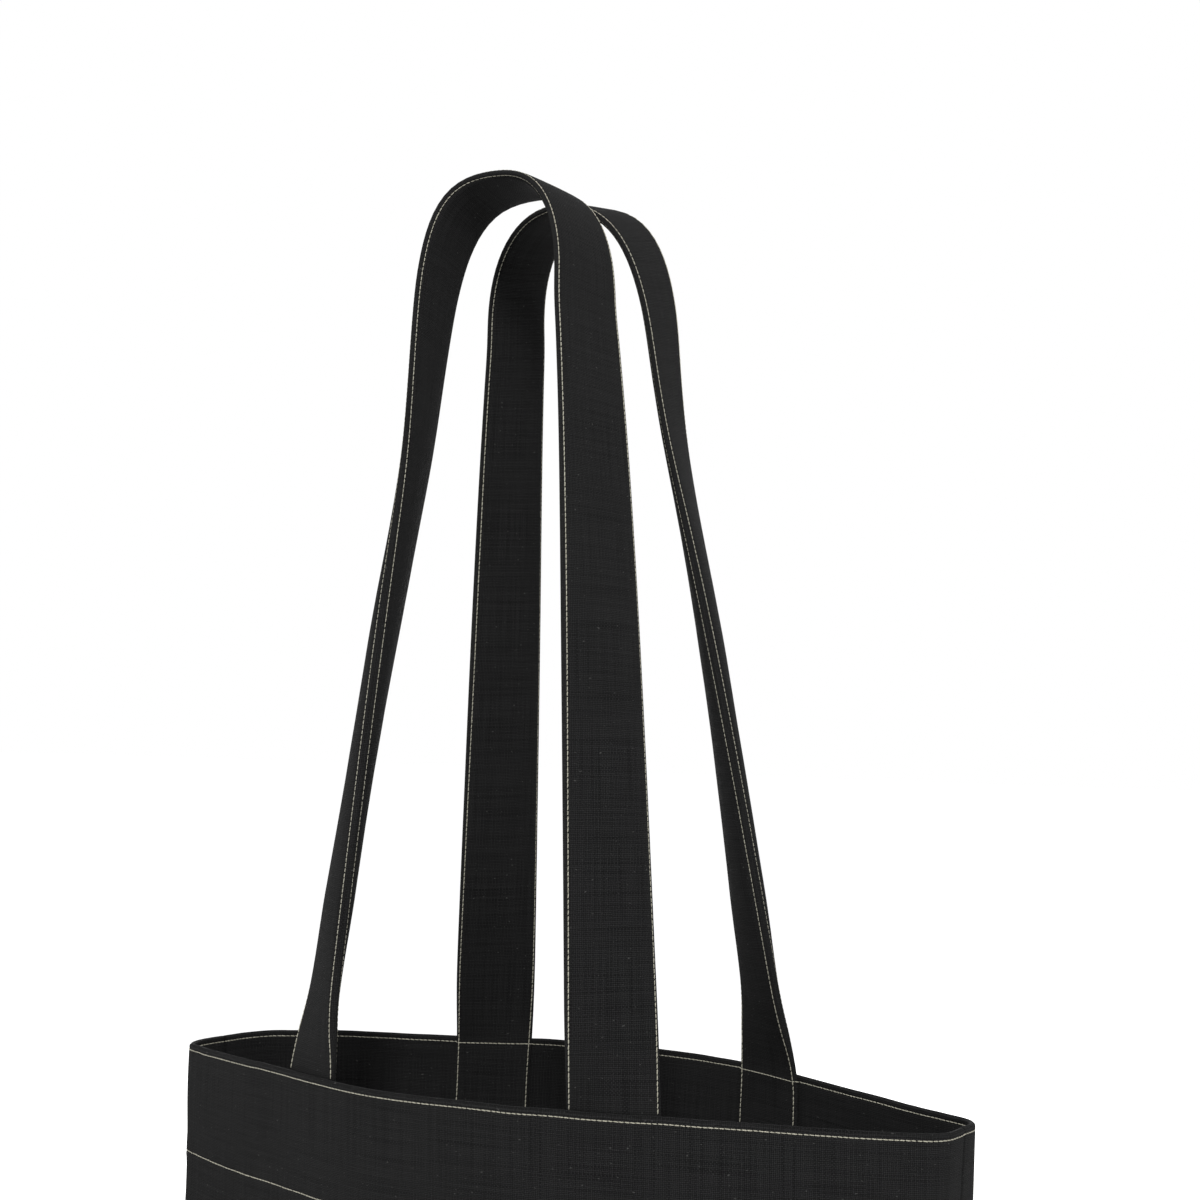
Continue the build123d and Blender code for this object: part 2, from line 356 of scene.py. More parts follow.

# %% [markdown]
# ## The canvas
# The bag and its handles are cut from the same dyed cotton. Its colour is a very dark grey and its gloss is
# almost nothing. The colour also holds painted light and shade: it is painted lighter on the pillows of the
# weave, as painted light, and nearly black in the gaps between them, as painted shade. One black all over
# would look like rubber, so the weave mixes the colour and also tilts the surface.

# %% The two canvases
# Painted shade for the gaps between the threads, and the crown colour with painted light in it.
CANVAS_GAP_SHADE = (0.0010, 0.0010, 0.0011, 1.0)
CANVAS_CROWN_LIT = (0.0228, 0.0228, 0.0230, 1.0)
LINT_COLOUR = (0.060, 0.060, 0.058, 1.0)
PATCH_SHARE, YARN_SHARE, DARKENING = 0.30, 1.80, 0.05
CANVAS_ROUGHNESS, YARN_ROUGHNESS = 0.82, 0.12
CANVAS_GLOSS = {"Specular IOR Level": 0.04, "Sheen Weight": 0.02, "Sheen Roughness": 0.6}
BAG_PITCH, STRAP_PITCH = 0.64 * MM, 0.66 * MM
WEAVE_DEPTH = 0.16 * MM


def cloth_place(wires):
    """Where a point lies on the cloth, in metres along and across it."""
    return wires.node("ShaderNodeUVMap", uv_map=CLOTH_MAP).outputs["UV"]


def bump(wires, height, depth):
    """A normal from a height of the given depth in metres."""
    made = wires.node("ShaderNodeBump")
    made.inputs["Strength"].default_value = 1.0
    made.inputs["Distance"].default_value = depth
    wires.feed(made.inputs["Height"], height)
    return made.outputs["Normal"]


def canvas(name, pitch):
    """Dyed canvas of the given thread pitch, with painted light on the crowns and painted shade in the gaps.
    """
    material, wires, output = new_material(name)
    weave = wires.node("ShaderNodeGroup", node_tree=WEAVE)
    weave.inputs["Pitch"].default_value = pitch
    fade = wires.node("ShaderNodeGroup", node_tree=FADE)
    place = cloth_place(wires)
    for group in (weave, fade):
        wires.feed(group.inputs["Place"], place)
    height, yarn = weave.outputs["Height"], weave.outputs["Thread"]
    patches = wires.math("MULTIPLY", fade.outputs["Fade"], PATCH_SHARE)
    mottled = wires.math("ADD", patches, wires.math("MULTIPLY", yarn, YARN_SHARE))
    # Painted light and shade: the colour runs from near black in the gaps to lighter on the crowns, with the
    # fading and the yarn tone on the crowns.
    light = wires.math("MULTIPLY", height, wires.math("SUBTRACT", mottled, DARKENING))
    weave_shade_and_tone = wires.mix("RGBA", light, CANVAS_GAP_SHADE, CANVAS_CROWN_LIT)
    shader = wires.node("ShaderNodeBsdfPrincipled")
    wires.feed(shader.inputs["Base Color"], wires.mix("RGBA", fade.outputs["Lint"], weave_shade_and_tone, LINT_COLOUR))
    rough = wires.math("ADD", wires.math("MULTIPLY", yarn, YARN_ROUGHNESS), CANVAS_ROUGHNESS)
    wires.feed(shader.inputs["Roughness"], rough)
    for label, value in CANVAS_GLOSS.items():
        shader.inputs[label].default_value = value
    wires.feed(shader.inputs["Normal"], bump(wires, height, WEAVE_DEPTH))
    wires.feed(output.inputs["Surface"], shader.outputs[0])
    return material


BAG_CANVAS = canvas("bag_canvas", BAG_PITCH)
STRAP_CANVAS = canvas("strap_canvas", STRAP_PITCH)
print("canvases:", [material.name for material in (BAG_CANVAS, STRAP_CANVAS)])

# %% [markdown]
# ## The thread
# The sewing thread is cream and twisted from plies, which show as fine slanting ridges. A wave that runs
# askew over the thread's own map draws them in height, and in colour as painted shade in the grooves
# between the plies. The overlock thread is the same in black.

# %% The two threads
# The darker colour of each thread is painted shade for the grooves between its plies.
THREAD_CREAM = (0.62, 0.60, 0.50, 1.0)
THREAD_SHADE = (0.38, 0.36, 0.28, 1.0)
OVERLOCK_SHADE = (0.012, 0.012, 0.013, 1.0)
OVERLOCK_GREY = (0.030, 0.030, 0.031, 1.0)
PLY_SLANT = 1.6
PLY_PITCH = 0.55 * MM
PLY_DEPTH = 0.08 * MM
THREAD_ROUGHNESS, PLY_SHINE = 0.75, 0.15
THREAD_GLOSS = 0.25


def thread(name, light, dark):
    """Twisted sewing thread with slanting plies, painted darker in the grooves between them."""
    material, wires, output = new_material(name)
    split = wires.node("ShaderNodeSeparateXYZ")
    wires.feed(split.inputs[0], cloth_place(wires))
    slant = wires.math("ADD", split.outputs["X"], wires.math("MULTIPLY", split.outputs["Y"], PLY_SLANT))
    plies = wires.math("SINE", wires.math("MULTIPLY", slant, 2 * math.pi / PLY_PITCH))
    height = wires.math("ADD", wires.math("MULTIPLY", plies, 0.5), 0.5)
    shader = wires.node("ShaderNodeBsdfPrincipled")
    # Painted shade: the colour is darker where the ply wave is low, in the grooves.
    wires.feed(shader.inputs["Base Color"], wires.mix("RGBA", height, dark, light))
    shine = wires.math("MULTIPLY", height, PLY_SHINE)
    wires.feed(shader.inputs["Roughness"], wires.math("SUBTRACT", THREAD_ROUGHNESS, shine))
    shader.inputs["Specular IOR Level"].default_value = THREAD_GLOSS
    wires.feed(shader.inputs["Normal"], bump(wires, height, PLY_DEPTH))
    wires.feed(output.inputs["Surface"], shader.outputs[0])
    return material


CREAM_THREAD = thread("cream_thread", THREAD_CREAM, THREAD_SHADE)
BLACK_THREAD = thread("black_thread", OVERLOCK_GREY, OVERLOCK_SHADE)
print("threads:", [material.name for material in (CREAM_THREAD, BLACK_THREAD)])

# %% [markdown]
# ## Lines of points
# Cloth and thread follow lines: round the rim, along a strap, down a seam. A Blender curve could hold them,
# but here each point is moved by formulas, which is easier on an array of points. Four helpers draw an arc,
# measure a line, read it at any distance along it and bring directions to length one.

# %% Helpers for lines


def round_points(centre, radius, start, stop, count):
    """Points on an arc, its angles in radians."""
    angles = np.linspace(start, stop, count)
    return np.stack([centre[0] + radius * np.cos(angles), centre[1] + radius * np.sin(angles)], -1)


def length_along(points):
    """How far each point of a line is from its first one, along the line."""
    return np.concatenate([[0], np.cumsum(np.linalg.norm(np.diff(points, axis=0), axis=1))])


def read_line(at, run, line):
    """A line of places or directions, known at the distances in run, read at others."""
    return np.stack([np.interp(at, run, column) for column in line.T], -1)


def unit(vectors):
    """Vectors at length one."""
    return vectors / np.linalg.norm(vectors, axis=-1, keepdims=True)


HALF_CIRCLE = round_points((0, 0), 1.0, 0, math.pi, 100)
print("half a circle of radius 1 is", length_along(HALF_CIRCLE)[-1].round(3), "long")

# %% [markdown]
# ## The shape of the bag
# Seen from above, the open bag is a hexagon with round corners: two blunt ends where the side seams are,
# and two panels whose middles are pulled apart. At the base the hexagon is nearly the rectangle of the
# boxed bottom, at the rim it is a pointed oval, and each height between is in between. The girth stays
# the same at every height, so a share of the panel's width is always the same thread of the canvas.

# %% The plan at one height
RIM_HALF_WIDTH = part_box("front_panel")[1].x
BASE_HALF_WIDTH = 154.9 * MM
RIM_END_HALF = 17.0 * MM
BASE_END_HALF = 51.0 * MM
RIM_PEAK = 97.0 * MM
BASE_PEAK = 56.0 * MM
RIM_PEAK_RUN = 79.0 * MM
BASE_PEAK_RUN = 60.0 * MM
RIM_CORNER = 14.5 * MM
BASE_CORNER = 10.0 * MM
PANEL_WIDTH = 400.0 * MM
SHARES = np.linspace(0.0, 1.0, 1201)
CORNER_POINTS, CREST_POINTS = 12, 40


def at_height(base, rim, z):
    """A size that runs in a straight line from the base to the rim."""
    return base + (rim - base) * z / RIM


def panel_line(z):
    """Points along one panel at one height, from its left seam to its right one, as if it faced +Y."""
    wide = at_height(BASE_HALF_WIDTH, RIM_HALF_WIDTH, z)
    end = at_height(BASE_END_HALF, RIM_END_HALF, z)
    peak = at_height(BASE_PEAK, RIM_PEAK, z)
    slope = math.atan2(peak - end, wide)
    corner = at_height(BASE_CORNER, RIM_CORNER, z)
    crest = at_height(BASE_PEAK_RUN, RIM_PEAK_RUN, z) / math.tan(slope)
    quarter = math.pi / 2
    tangent = corner * math.tan((quarter - slope) / 2)
    left = round_points((corner - wide, end - tangent), corner, math.pi, quarter + slope, CORNER_POINTS)
    centre = (0, peak - crest / math.cos(slope))
    top = round_points(centre, crest, quarter + slope, quarter - slope, CREST_POINTS)
    right = left[::-1] * (-1, 1)
    line = np.concatenate([[(-wide, 0)], left, top, right, [(wide, 0)]])
    run = length_along(line)
    return read_line(SHARES * run[-1], run, line)


rim_line = panel_line(RIM)
print("panel at the rim, metres:", length_along(rim_line)[-1].round(4))

# %% [markdown]
# ## What makes it cloth
# An open mouth has no exact mirror. The left end of this one is drawn in a little and stands nearer to the
# front, and its hem narrows there. The right end dips, and the rim waves up and down by a fraction of a
# millimetre. All are small smooth moves on top of the formula, and the waves come from seeded random
# numbers, alike in each run.

# %% Draw in the left end, wave the rim
DRAWN_FROM = 70.0 * MM
DRAWN_IN = 13.5 * MM
DRAWN_FORWARD = 8.0 * MM
DRAWN_OPEN = 0.35
DRAWN_CURVE = 1.5
DRAWN_ABOVE = 250.0 * MM
DRAWN_MORE, DRAWN_MORE_BELOW = 0.4, 70.0 * MM
HEM_LIFT = 3.6 * MM
LIFT_FULL, LIFT_ENDS, LIFT_FADE = 45.0 * MM, 150.0 * MM, 100.0 * MM
RIGHT_DIP = 2.3 * MM
DIP_FROM, DIP_OVER = 50.0 * MM, 110.0 * MM
RIM_WAVE = 0.5 * MM
WAVE_SEED, WAVE_SPACING, WAVE_REACH = 7, 55.0 * MM, 90.0 * MM
FRONT, BACK = -1, 1
SIDES = (("front", FRONT), ("back", BACK))


def smooth_step(share):
    """From 0 to 1 with soft ends."""
    share = np.clip(share, 0.0, 1.0)
    return share * share * (3 - 2 * share)


def waves(seed, length, spacing, places):
    """A smooth random curve between -1 and 1 with knots at the given spacing, read at places."""
    knots = np.random.default_rng(seed).uniform(-1, 1, int(length / spacing) + 3)
    at = np.asarray(places) / spacing
    low = np.clip(at.astype(int), 0, len(knots) - 2)
    return knots[low] + (knots[low + 1] - knots[low]) * smooth_step(at - low)


def formula_wall(side, z):
    """One panel at one height before gravity: places along it."""
    line = panel_line(z)
    below = RIM - z
    toward_end = np.clip((-line[:, 0] - DRAWN_FROM) / (RIM_HALF_WIDTH - DRAWN_FROM), 0, 1)
    reach = toward_end**DRAWN_CURVE * smooth_step(z / DRAWN_ABOVE)
    x = line[:, 0] + DRAWN_IN * reach * (1 + DRAWN_MORE * smooth_step(below / DRAWN_MORE_BELOW))
    y = side * line[:, 1] * (1 + DRAWN_OPEN * reach) - DRAWN_FORWARD * reach
    wave = RIM_WAVE * waves(WAVE_SEED + side, PANEL_WIDTH, WAVE_SPACING, SHARES * PANEL_WIDTH)
    wave *= np.sin(math.pi * SHARES) ** 0.5
    wave -= RIGHT_DIP * smooth_step((line[:, 0] - DIP_FROM) / DIP_OVER)
    lifted = smooth_step(below / LIFT_FULL) * smooth_step((LIFT_ENDS - below) / LIFT_FADE)
    up = wave * smooth_step(1 - below / WAVE_REACH) + HEM_LIFT * toward_end**2 * lifted
    return np.stack([x, y, z + up], -1)


print("left end stands at x =", formula_wall(FRONT, RIM)[0, 0].round(4))

# %% [markdown]
# ## Gravity and slack
# A sewn bag isn't as smooth as a formula. Its canvas is a little longer than the way from rim to base, so
# it slumps and buckles in soft dents. Sculpting them by hand looks like sculpture, so a grid of the wall
# goes through a short cloth simulation: the stiff hem and the base are held, the cloth is one percent too
# large, and gravity pulls. Only how far each point moved is kept, and added to the formula wall.

# %% A grid of the wall
FOLD_RADIUS = 6.0 * MM
HEM_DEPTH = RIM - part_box("front_hem")[0].z
TRIAL_COLUMNS = 60
TRIAL_ROWS = 54
HOLD_FADE = 60.0 * MM
BASE_HELD, BASE_FADE = 20.0 * MM, 12.0 * MM
trial_heights = np.linspace(FOLD_RADIUS, RIM, TRIAL_ROWS)
trial_shares = np.linspace(0, 1, TRIAL_COLUMNS + 1)


def trial_grid():
    """The wall as rows of points right round the bag, front first and then back to the left seam."""
    pick = np.round(trial_shares * (len(SHARES) - 1)).astype(int)
    rows = []
    for z in trial_heights:
        front = formula_wall(FRONT, z)[pick]
        back = formula_wall(BACK, z)[pick][::-1]
        rows.append(np.concatenate([front, back[1:-1]]))
    return np.array(rows)


def held_shares(heights):
    """How firmly each height is held: the base and the hem fully, and less below the hem."""
    below_hem = (heights - (RIM - HEM_DEPTH - HOLD_FADE)) / HOLD_FADE
    at_base = (BASE_HELD - heights) / BASE_FADE
    return np.maximum(smooth_step(below_hem), smooth_step(at_base))


print("the trial wall has", TRIAL_ROWS, "rows of", trial_grid().shape[1], "points")

# %% [markdown] ## Hanging the wall A cloth modifier needs a mesh, a group that says how firmly each point is
# held, and a few frames to come to rest. Flawless symmetry would buckle along the grid, so each point starts
# a fraction of a millimetre off.

# %% Let the wall slump
TRIAL_FRAMES = 36
SLACK = 0.012
JITTER_SEED, JITTER = 3, 0.15 * MM
CANVAS_SETTINGS = dict(
    quality=6, mass=0.05, air_damping=4.0, shrink_min=-SLACK,
    tension_stiffness=40.0, compression_stiffness=40.0, shear_stiffness=12.0, bending_stiffness=1.5,
    tension_damping=15.0, compression_damping=15.0, shear_damping=15.0, bending_damping=2.0,
)
LARGEST_MOVE = 9.0 * MM
BEYOND_SEAM = 4
read_columns = np.arange(-BEYOND_SEAM, TRIAL_COLUMNS + BEYOND_SEAM + 1)


def ring_quads(index):
    """Corner numbers of the quads between rings of points, whose numbers fill the last two axes of index."""
    after = np.roll(index, -1, axis=-1)
    low, high = np.s_[..., :-1, :], np.s_[..., 1:, :]
    return np.stack([index[low], after[low], after[high], index[high]], -1).reshape(-1, 4)


def slump(grid):
    """The grid after it has hung for a while."""
    rows, columns, _ = grid.shape
    index = np.arange(rows * columns).reshape(rows, columns)
    mesh = bpy.data.meshes.new("wall_trial")
    jitter = np.random.default_rng(JITTER_SEED).normal(0, JITTER, grid.shape)
    mesh.from_pydata((grid + jitter).reshape(-1, 3).tolist(), [], ring_quads(index).tolist())
    trial = bpy.data.objects.new("wall_trial", mesh)
    bpy.context.collection.objects.link(trial)
    held = trial.vertex_groups.new(name="held")
    for row, weight in enumerate(held_shares(trial_heights)):
        held.add(index[row].tolist(), float(weight), "REPLACE")
    cloth = trial.modifiers.new("cloth", "CLOTH")
    for label, value in CANVAS_SETTINGS.items():
        setattr(cloth.settings, label, value)
    cloth.settings.vertex_group_mass = "held"
    cloth.collision_settings.use_collision = False
    scene = bpy.context.scene
    for step in range(1, TRIAL_FRAMES + 1):
        scene.frame_set(step)
    hung = trial.evaluated_get(bpy.context.evaluated_depsgraph_get()).to_mesh()
    places = np.empty(rows * columns * 3)
    hung.vertices.foreach_get("co", places)
    scene.frame_set(1)
    bpy.data.objects.remove(trial)
    return places.reshape(rows, columns, 3)


def cloth_moves():
    """How far each point of each panel and a few beyond its seams move, with the largest moves eased off."""
    grid = trial_grid()
    moved = slump(grid) - grid
    size = np.linalg.norm(moved, axis=2, keepdims=True)
    moved = moved * LARGEST_MOVE * np.tanh(size / LARGEST_MOVE) / np.maximum(size, 1e-9)
    around = moved.shape[1]
    return {FRONT: moved[:, read_columns % around], BACK: moved[:, -read_columns % around]}


MOVES = cloth_moves()
print("largest move of the wall, mm:", round(float(np.linalg.norm(MOVES[FRONT], axis=2).max()) * 1000, 2))

# %% [markdown]
# ## One wall for every piece
# Stitches, hems and handle ends all lie on the wall, so they ask one function where it is: at a height, at
# a share of the panel's width, and so far in from the outer face. The coarse moves of the simulation are
# read through a soft bell, which leaves no facets.

# %% Ask the wall for places
BELL_SPREAD = 0.8
wall_cache = {}


def bell_weights(places, knots):
    """Weights that read a coarse row of knots smoothly at places."""
    spread = BELL_SPREAD * (knots[1] - knots[0])
    weights = np.exp(-0.5 * ((np.asarray(places)[:, None] - knots[None, :]) / spread) ** 2)
    return weights / weights.sum(1, keepdims=True)


SHARE_WEIGHTS = bell_weights(SHARES, read_columns / TRIAL_COLUMNS)


def whole_wall(side, z):
    """Places and outward directions along one panel at one height, at every share."""
    key = (side, round(float(z), 6))
    if key not in wall_cache:
        places = formula_wall(side, z)
        row = bell_weights([z], trial_heights)[0]
        places = places + SHARE_WEIGHTS @ np.tensordot(row, MOVES[side], axes=1)
        along = np.gradient(places, axis=0)
        out = np.stack([-side * along[:, 1], side * along[:, 0], np.zeros(len(along))], -1)
        wall_cache[key] = places, unit(out)
    return wall_cache[key]


def wall(side, shares, z, inset=0.0):
    """Places on the wall at some shares of the width, moved in by inset, and the outward directions there."""
    places, out = whole_wall(side, z)
    out = unit(read_line(shares, SHARES, out))
    inset = np.broadcast_to(inset, len(out))
    return read_line(shares, SHARES, places) - out * inset[:, None], out


print("wall at half height, middle of the front:", wall(FRONT, np.array([0.5]), RIM / 2)[0].round(4).tolist())

# %% [markdown]
# ## Meshes from grids
# Cloth is rows and columns, so most pieces here are grids of points: rows along the panel, or rings along
# a strap. A few helpers turn such arrays into smooth meshes with the map of the cloth in metres.

# %% Grid and tube helpers


def finish_mesh(name, points, faces, face_map, material):
    """A smooth object from points, faces and one map place per face corner, its faces turned outwards."""
    mesh = bpy.data.meshes.new(name)
    mesh.from_pydata(np.asarray(points).reshape(-1, 3).tolist(), [], faces)
    layer = mesh.uv_layers.new(name=CLOTH_MAP)
    layer.data.foreach_set("uv", np.asarray(face_map, dtype=np.float32).ravel())
    mesh.polygons.foreach_set("use_smooth", [True] * len(mesh.polygons))
    mesh.materials.append(material)
    turned = bmesh.new()
    turned.from_mesh(mesh)
    bmesh.ops.recalc_face_normals(turned, faces=turned.faces)
    turned.to_mesh(mesh)
    turned.free()
    made = bpy.data.objects.new(name, mesh)
    bpy.context.collection.objects.link(made)
    return made


def grid_faces(rows, columns):
    """Quads of a grid of points, as corner indices."""
    index = np.arange(rows * columns).reshape(rows, columns)
    return np.stack([index[:-1, :-1], index[:-1, 1:], index[1:, 1:], index[1:, :-1]], -1).reshape(-1, 4)


def quad_map(around, along):
    """Map places of the corners of every quad, from those of the columns around and the rows along."""
    corners = []
    for right, up in ((0, 0), (1, 0), (1, 1), (0, 1)):
        columns = around[right : right + len(around) - 1]
        rows = along[up : up + len(along) - 1]
        corners.append(np.stack(np.meshgrid(columns, rows), -1))
    return np.stack(corners, 2)


def tube(name, rings, around, along, material):
    """A closed tube from rings of points. around and along are the map places of its columns and rows."""
    count, sides, _ = rings.shape
    index = np.arange(count * sides).reshape(count, sides)
    faces = ring_quads(index).tolist() + [index[0][::-1].tolist(), index[-1].tolist()]
    face_map = np.concatenate([quad_map(around, along).reshape(-1, 2), np.zeros((2 * sides, 2))])
    return finish_mesh(name, rings, faces, face_map, material)


print("helpers ready")

# %% [markdown]
# ## The panels and their folded hem
# Each panel is one cut of canvas: half of the bottom, up the wall, over the rim and forty-six millimetres
# down the inside. A block with a hollow would show no fold, so the cloth's middle surface follows that
# whole way as rows, and a Solidify modifier gives it the thickness of canvas. The rows crowd together at
# the two stitch lines, where the thread pulls the layers in and leaves fine puckers.

# %% The panel at its stitch lines
RIM_STITCH = RIM - sum(corner.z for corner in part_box("front_rim_topstitch")) / 2
HEM_STITCH = RIM - sum(corner.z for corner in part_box("front_hem_stitch")) / 2
GROOVE = 0.22 * MM
GROOVE_REACH = 0.55 * MM
PUCKER = 0.16 * MM
PUCKER_SEED, PUCKER_SPACING, PUCKER_REACH = 20, 4.5 * MM, 5.0 * MM
ROWS_AT_STITCHES = np.array([-1.4, -0.9, -0.5, -0.2, 0.0, 0.2, 0.5, 0.9, 1.4]) * MM
HEM_STEP, WALL_STEP = 4.0 * MM, 5.0 * MM


def depths_below_rim(deepest):
    """Rows below the rim, close together at the stitches."""
    hem = np.arange(RIM_STITCH + HEM_STEP, HEM_STITCH - 3 * MM, HEM_STEP)
    edge = HEM_DEPTH + np.array([0.0, 1.2]) * MM
    lower = np.arange(HEM_DEPTH + HEM_STEP, RIM - FOLD_RADIUS, WALL_STEP)
    rows = np.concatenate([RIM_STITCH + ROWS_AT_STITCHES, hem, HEM_STITCH + ROWS_AT_STITCHES, edge, lower])
    return rows[rows <= deepest + 1e-6]


def pull_of_stitches(depth):
    """How far the thread pulls the cloth in at a depth below the rim."""
    lines = np.array([RIM_STITCH, HEM_STITCH])
    return GROOVE * np.exp(-(((depth - lines) / GROOVE_REACH) ** 2)).sum()


def puckers(side, shares, depth):
    """Small folds that run out from each line of stitches."""
    total = np.zeros(len(shares))
    for number, line in enumerate((RIM_STITCH, HEM_STITCH)):
        seed = PUCKER_SEED + 3 * number + side
        fine = waves(seed, PANEL_WIDTH, PUCKER_SPACING, shares * PANEL_WIDTH)
        total += PUCKER * fine * math.exp(-(((depth - line) / PUCKER_REACH) ** 2))
    return total


print("stitch lines lie", [round(line * 1000, 1) for line in (RIM_STITCH, HEM_STITCH)], "mm below the rim")

# %% [markdown]
# ## From the edge of the hem to the base
# Cut through, the panel is one line: up the inside, round the rim in half a circle, down the outside and
# round into the bottom. Each of its points is a row of the panel. At the side seams the last points of a
# row turn inwards until they meet the other panel, which draws the seam as a real crease. Inside the hem
# they go straight on.

# %% The profile of a panel and its seams
CLOTH_THICKNESS = 0.9 * MM
CLOTH_MIDDLE = 0.5 * MM
HEM_MIDDLE = 1.6 * MM
HEM_RIDGE = 0.25 * MM
RIDGE_FADE = 2.5 * MM
FOLD_POINTS = 7
SEAM_OVERLAP = 0.2 * MM
# Each step of the turn: share of the way to the seam, how far inwards, and the share for the hem's flat rows.
SEAM_TURN = ((1.0, 1.3 * MM, 1.0), (0.93, 0.6 * MM, 0.67), (0.6, 0.12 * MM, 0.33))


def panel_profile():
    """Depth below the rim, inset and seam turn of each row, from the hem's edge over the rim to the base."""
    radius = (HEM_MIDDLE - CLOTH_MIDDLE) / 2
    centre = (HEM_MIDDLE + CLOTH_MIDDLE) / 2
    rows = []
    for depth in depths_below_rim(HEM_DEPTH)[::-1]:
        rows.append((depth, HEM_MIDDLE - pull_of_stitches(depth), 0.0))
    for angle in np.linspace(0, math.pi, FOLD_POINTS):
        turn = (1 - math.cos(angle)) / 2
        rows.append((radius * (1 - math.sin(angle)), centre + radius * math.cos(angle), turn))
    for depth in depths_below_rim(RIM):
        ridge = HEM_RIDGE * (1 - smooth_step((depth - HEM_DEPTH) / RIDGE_FADE))
        rows.append((depth, CLOTH_MIDDLE + pull_of_stitches(depth) - ridge, 1.0))
    for angle in np.linspace(0, math.pi / 2, FOLD_POINTS)[1:]:
        drop = FOLD_RADIUS * math.sin(angle) - CLOTH_MIDDLE * (angle / (math.pi / 2))
        rows.append((RIM - FOLD_RADIUS + drop, CLOTH_MIDDLE + FOLD_RADIUS * (1 - math.cos(angle)), 1.0))
    return rows


def turned_ends(row, out, turn):
    """A row from seam to seam, whose last points turn into the side seams until they meet the other panel."""
    seams, places, out = row[[0, -1]], row[1:-1], out[1:-1]
    made = []
    for first, second, seam in ((0, 1, seams[0]), (-1, -2, seams[1])):
        toward = unit(places[first] - places[second])
        reach = (seam - places[first]) @ toward + SEAM_OVERLAP
        steps = []
        for along, inward, flat in SEAM_TURN:
            turned = toward * along * (reach - CLOTH_THICKNESS / 2) - out[first] * inward
            steps.append(places[first] + turned * turn + toward * flat * reach * (1 - turn))
        made.append(steps)
    return np.concatenate([made[0], places, made[1][::-1]])


print("a panel has", len(panel_profile()), "rows down to the base")

# %% [markdown]
# ## The bottom, and both panels
# Where the wall ends it folds under, and the two panels meet in a seam along the middle of the bottom. Ten
# more rows run straight from the wall's lower edge to that seam, and the last of them rise in a small lip,
# as a sewn edge does. The map of the wall follows the width and the length of the panel, and the map of
# the bottom is its plan, so the weave has the same size on both.

# %% Make the two panels
PANEL_COLUMNS = 150
SEAM_START = 1.25 * MM / PANEL_WIDTH
BOTTOM_STEPS = (0.06, 0.15, 0.3, 0.45, 0.6, 0.75, 0.88, 0.95, 0.985, 1.0)
BOTTOM_NARROWING = 0.9
BOTTOM_LIP, LIP_FROM = 1.2 * MM, 0.93


def panel_rows(side):
    """All rows of one panel as a grid of points, with the number of rows above the bottom."""
    shares = np.concatenate([[0], np.linspace(SEAM_START, 1 - SEAM_START, PANEL_COLUMNS + 1), [1]])
    rows = []
    for depth, inset, turn in panel_profile():
        z = RIM - depth
        places, out = wall(side, shares, max(z, FOLD_RADIUS), inset - puckers(side, shares, depth))
        places[:, 2] += z - max(z, FOLD_RADIUS)
        rows.append(turned_ends(places, out, turn))
    edge = rows[-1]
    seam_x = np.linspace(-BOTTOM_NARROWING, BOTTOM_NARROWING, len(edge)) * BASE_HALF_WIDTH
    seam_y = side * (CLOTH_THICKNESS / 2 - SEAM_OVERLAP)
    seam = np.stack([seam_x, np.full(len(edge), seam_y), np.full(len(edge), CLOTH_MIDDLE)], -1)
    for step in BOTTOM_STEPS:
        row = edge + (seam - edge) * step
        row[:, 2] += BOTTOM_LIP * smooth_step((step - LIP_FROM) / (1 - LIP_FROM))
        rows.append(row)
    return np.array(rows), len(rows) - len(BOTTOM_STEPS)


def make_panel(name, side):
    """One panel of the bag with its hem."""
    points, wall_rows = panel_rows(side)
    count, columns, _ = points.shape
    faces = grid_faces(count, columns)
    down = length_along(points[:, columns // 2])
    across = np.linspace(0, PANEL_WIDTH, columns)
    on_wall = np.stack(np.meshgrid(across, down), -1)
    on_bottom = points[:, :, :2]
    face_map = on_wall.reshape(-1, 2)[faces]
    bottom = faces[:, 0] >= (wall_rows - 1) * columns
    face_map[bottom] = on_bottom.reshape(-1, 2)[faces[bottom]]
    made = finish_mesh(name + "_panel_cloth", points, faces.tolist(), face_map, BAG_CANVAS)
    thick = made.modifiers.new("canvas_thickness", "SOLIDIFY")
    thick.thickness = CLOTH_THICKNESS
    thick.offset = 0.0
    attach(made, "bag")
    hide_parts(name + "_panel", name + "_hem")
    return made


PANELS = {name: make_panel(name, side) for name, side in SIDES}
print("panel mesh has", len(PANELS["front"].data.vertices), "points")

# %% [markdown]
# ## The padded handles
# Each handle is a tube of canvas round a strip of wadding, stitched flat along both edges. Its two ends lie
# on the inside of the hem. Each leg turns a quarter turn on its way up, so the loops lie side by side at
# the top, as over a peg. A curve with a bevel can't swell and twist like that, so the strap is a row of
# cross-sections along a way of its own. Half a loop is a leg that leans in and a quarter of an arch: a
# smaller `square` makes the arch boxier, a smaller `twist` brings the turn in sooner, and `early` is the
# part of the turn that the leg has made by the rim.

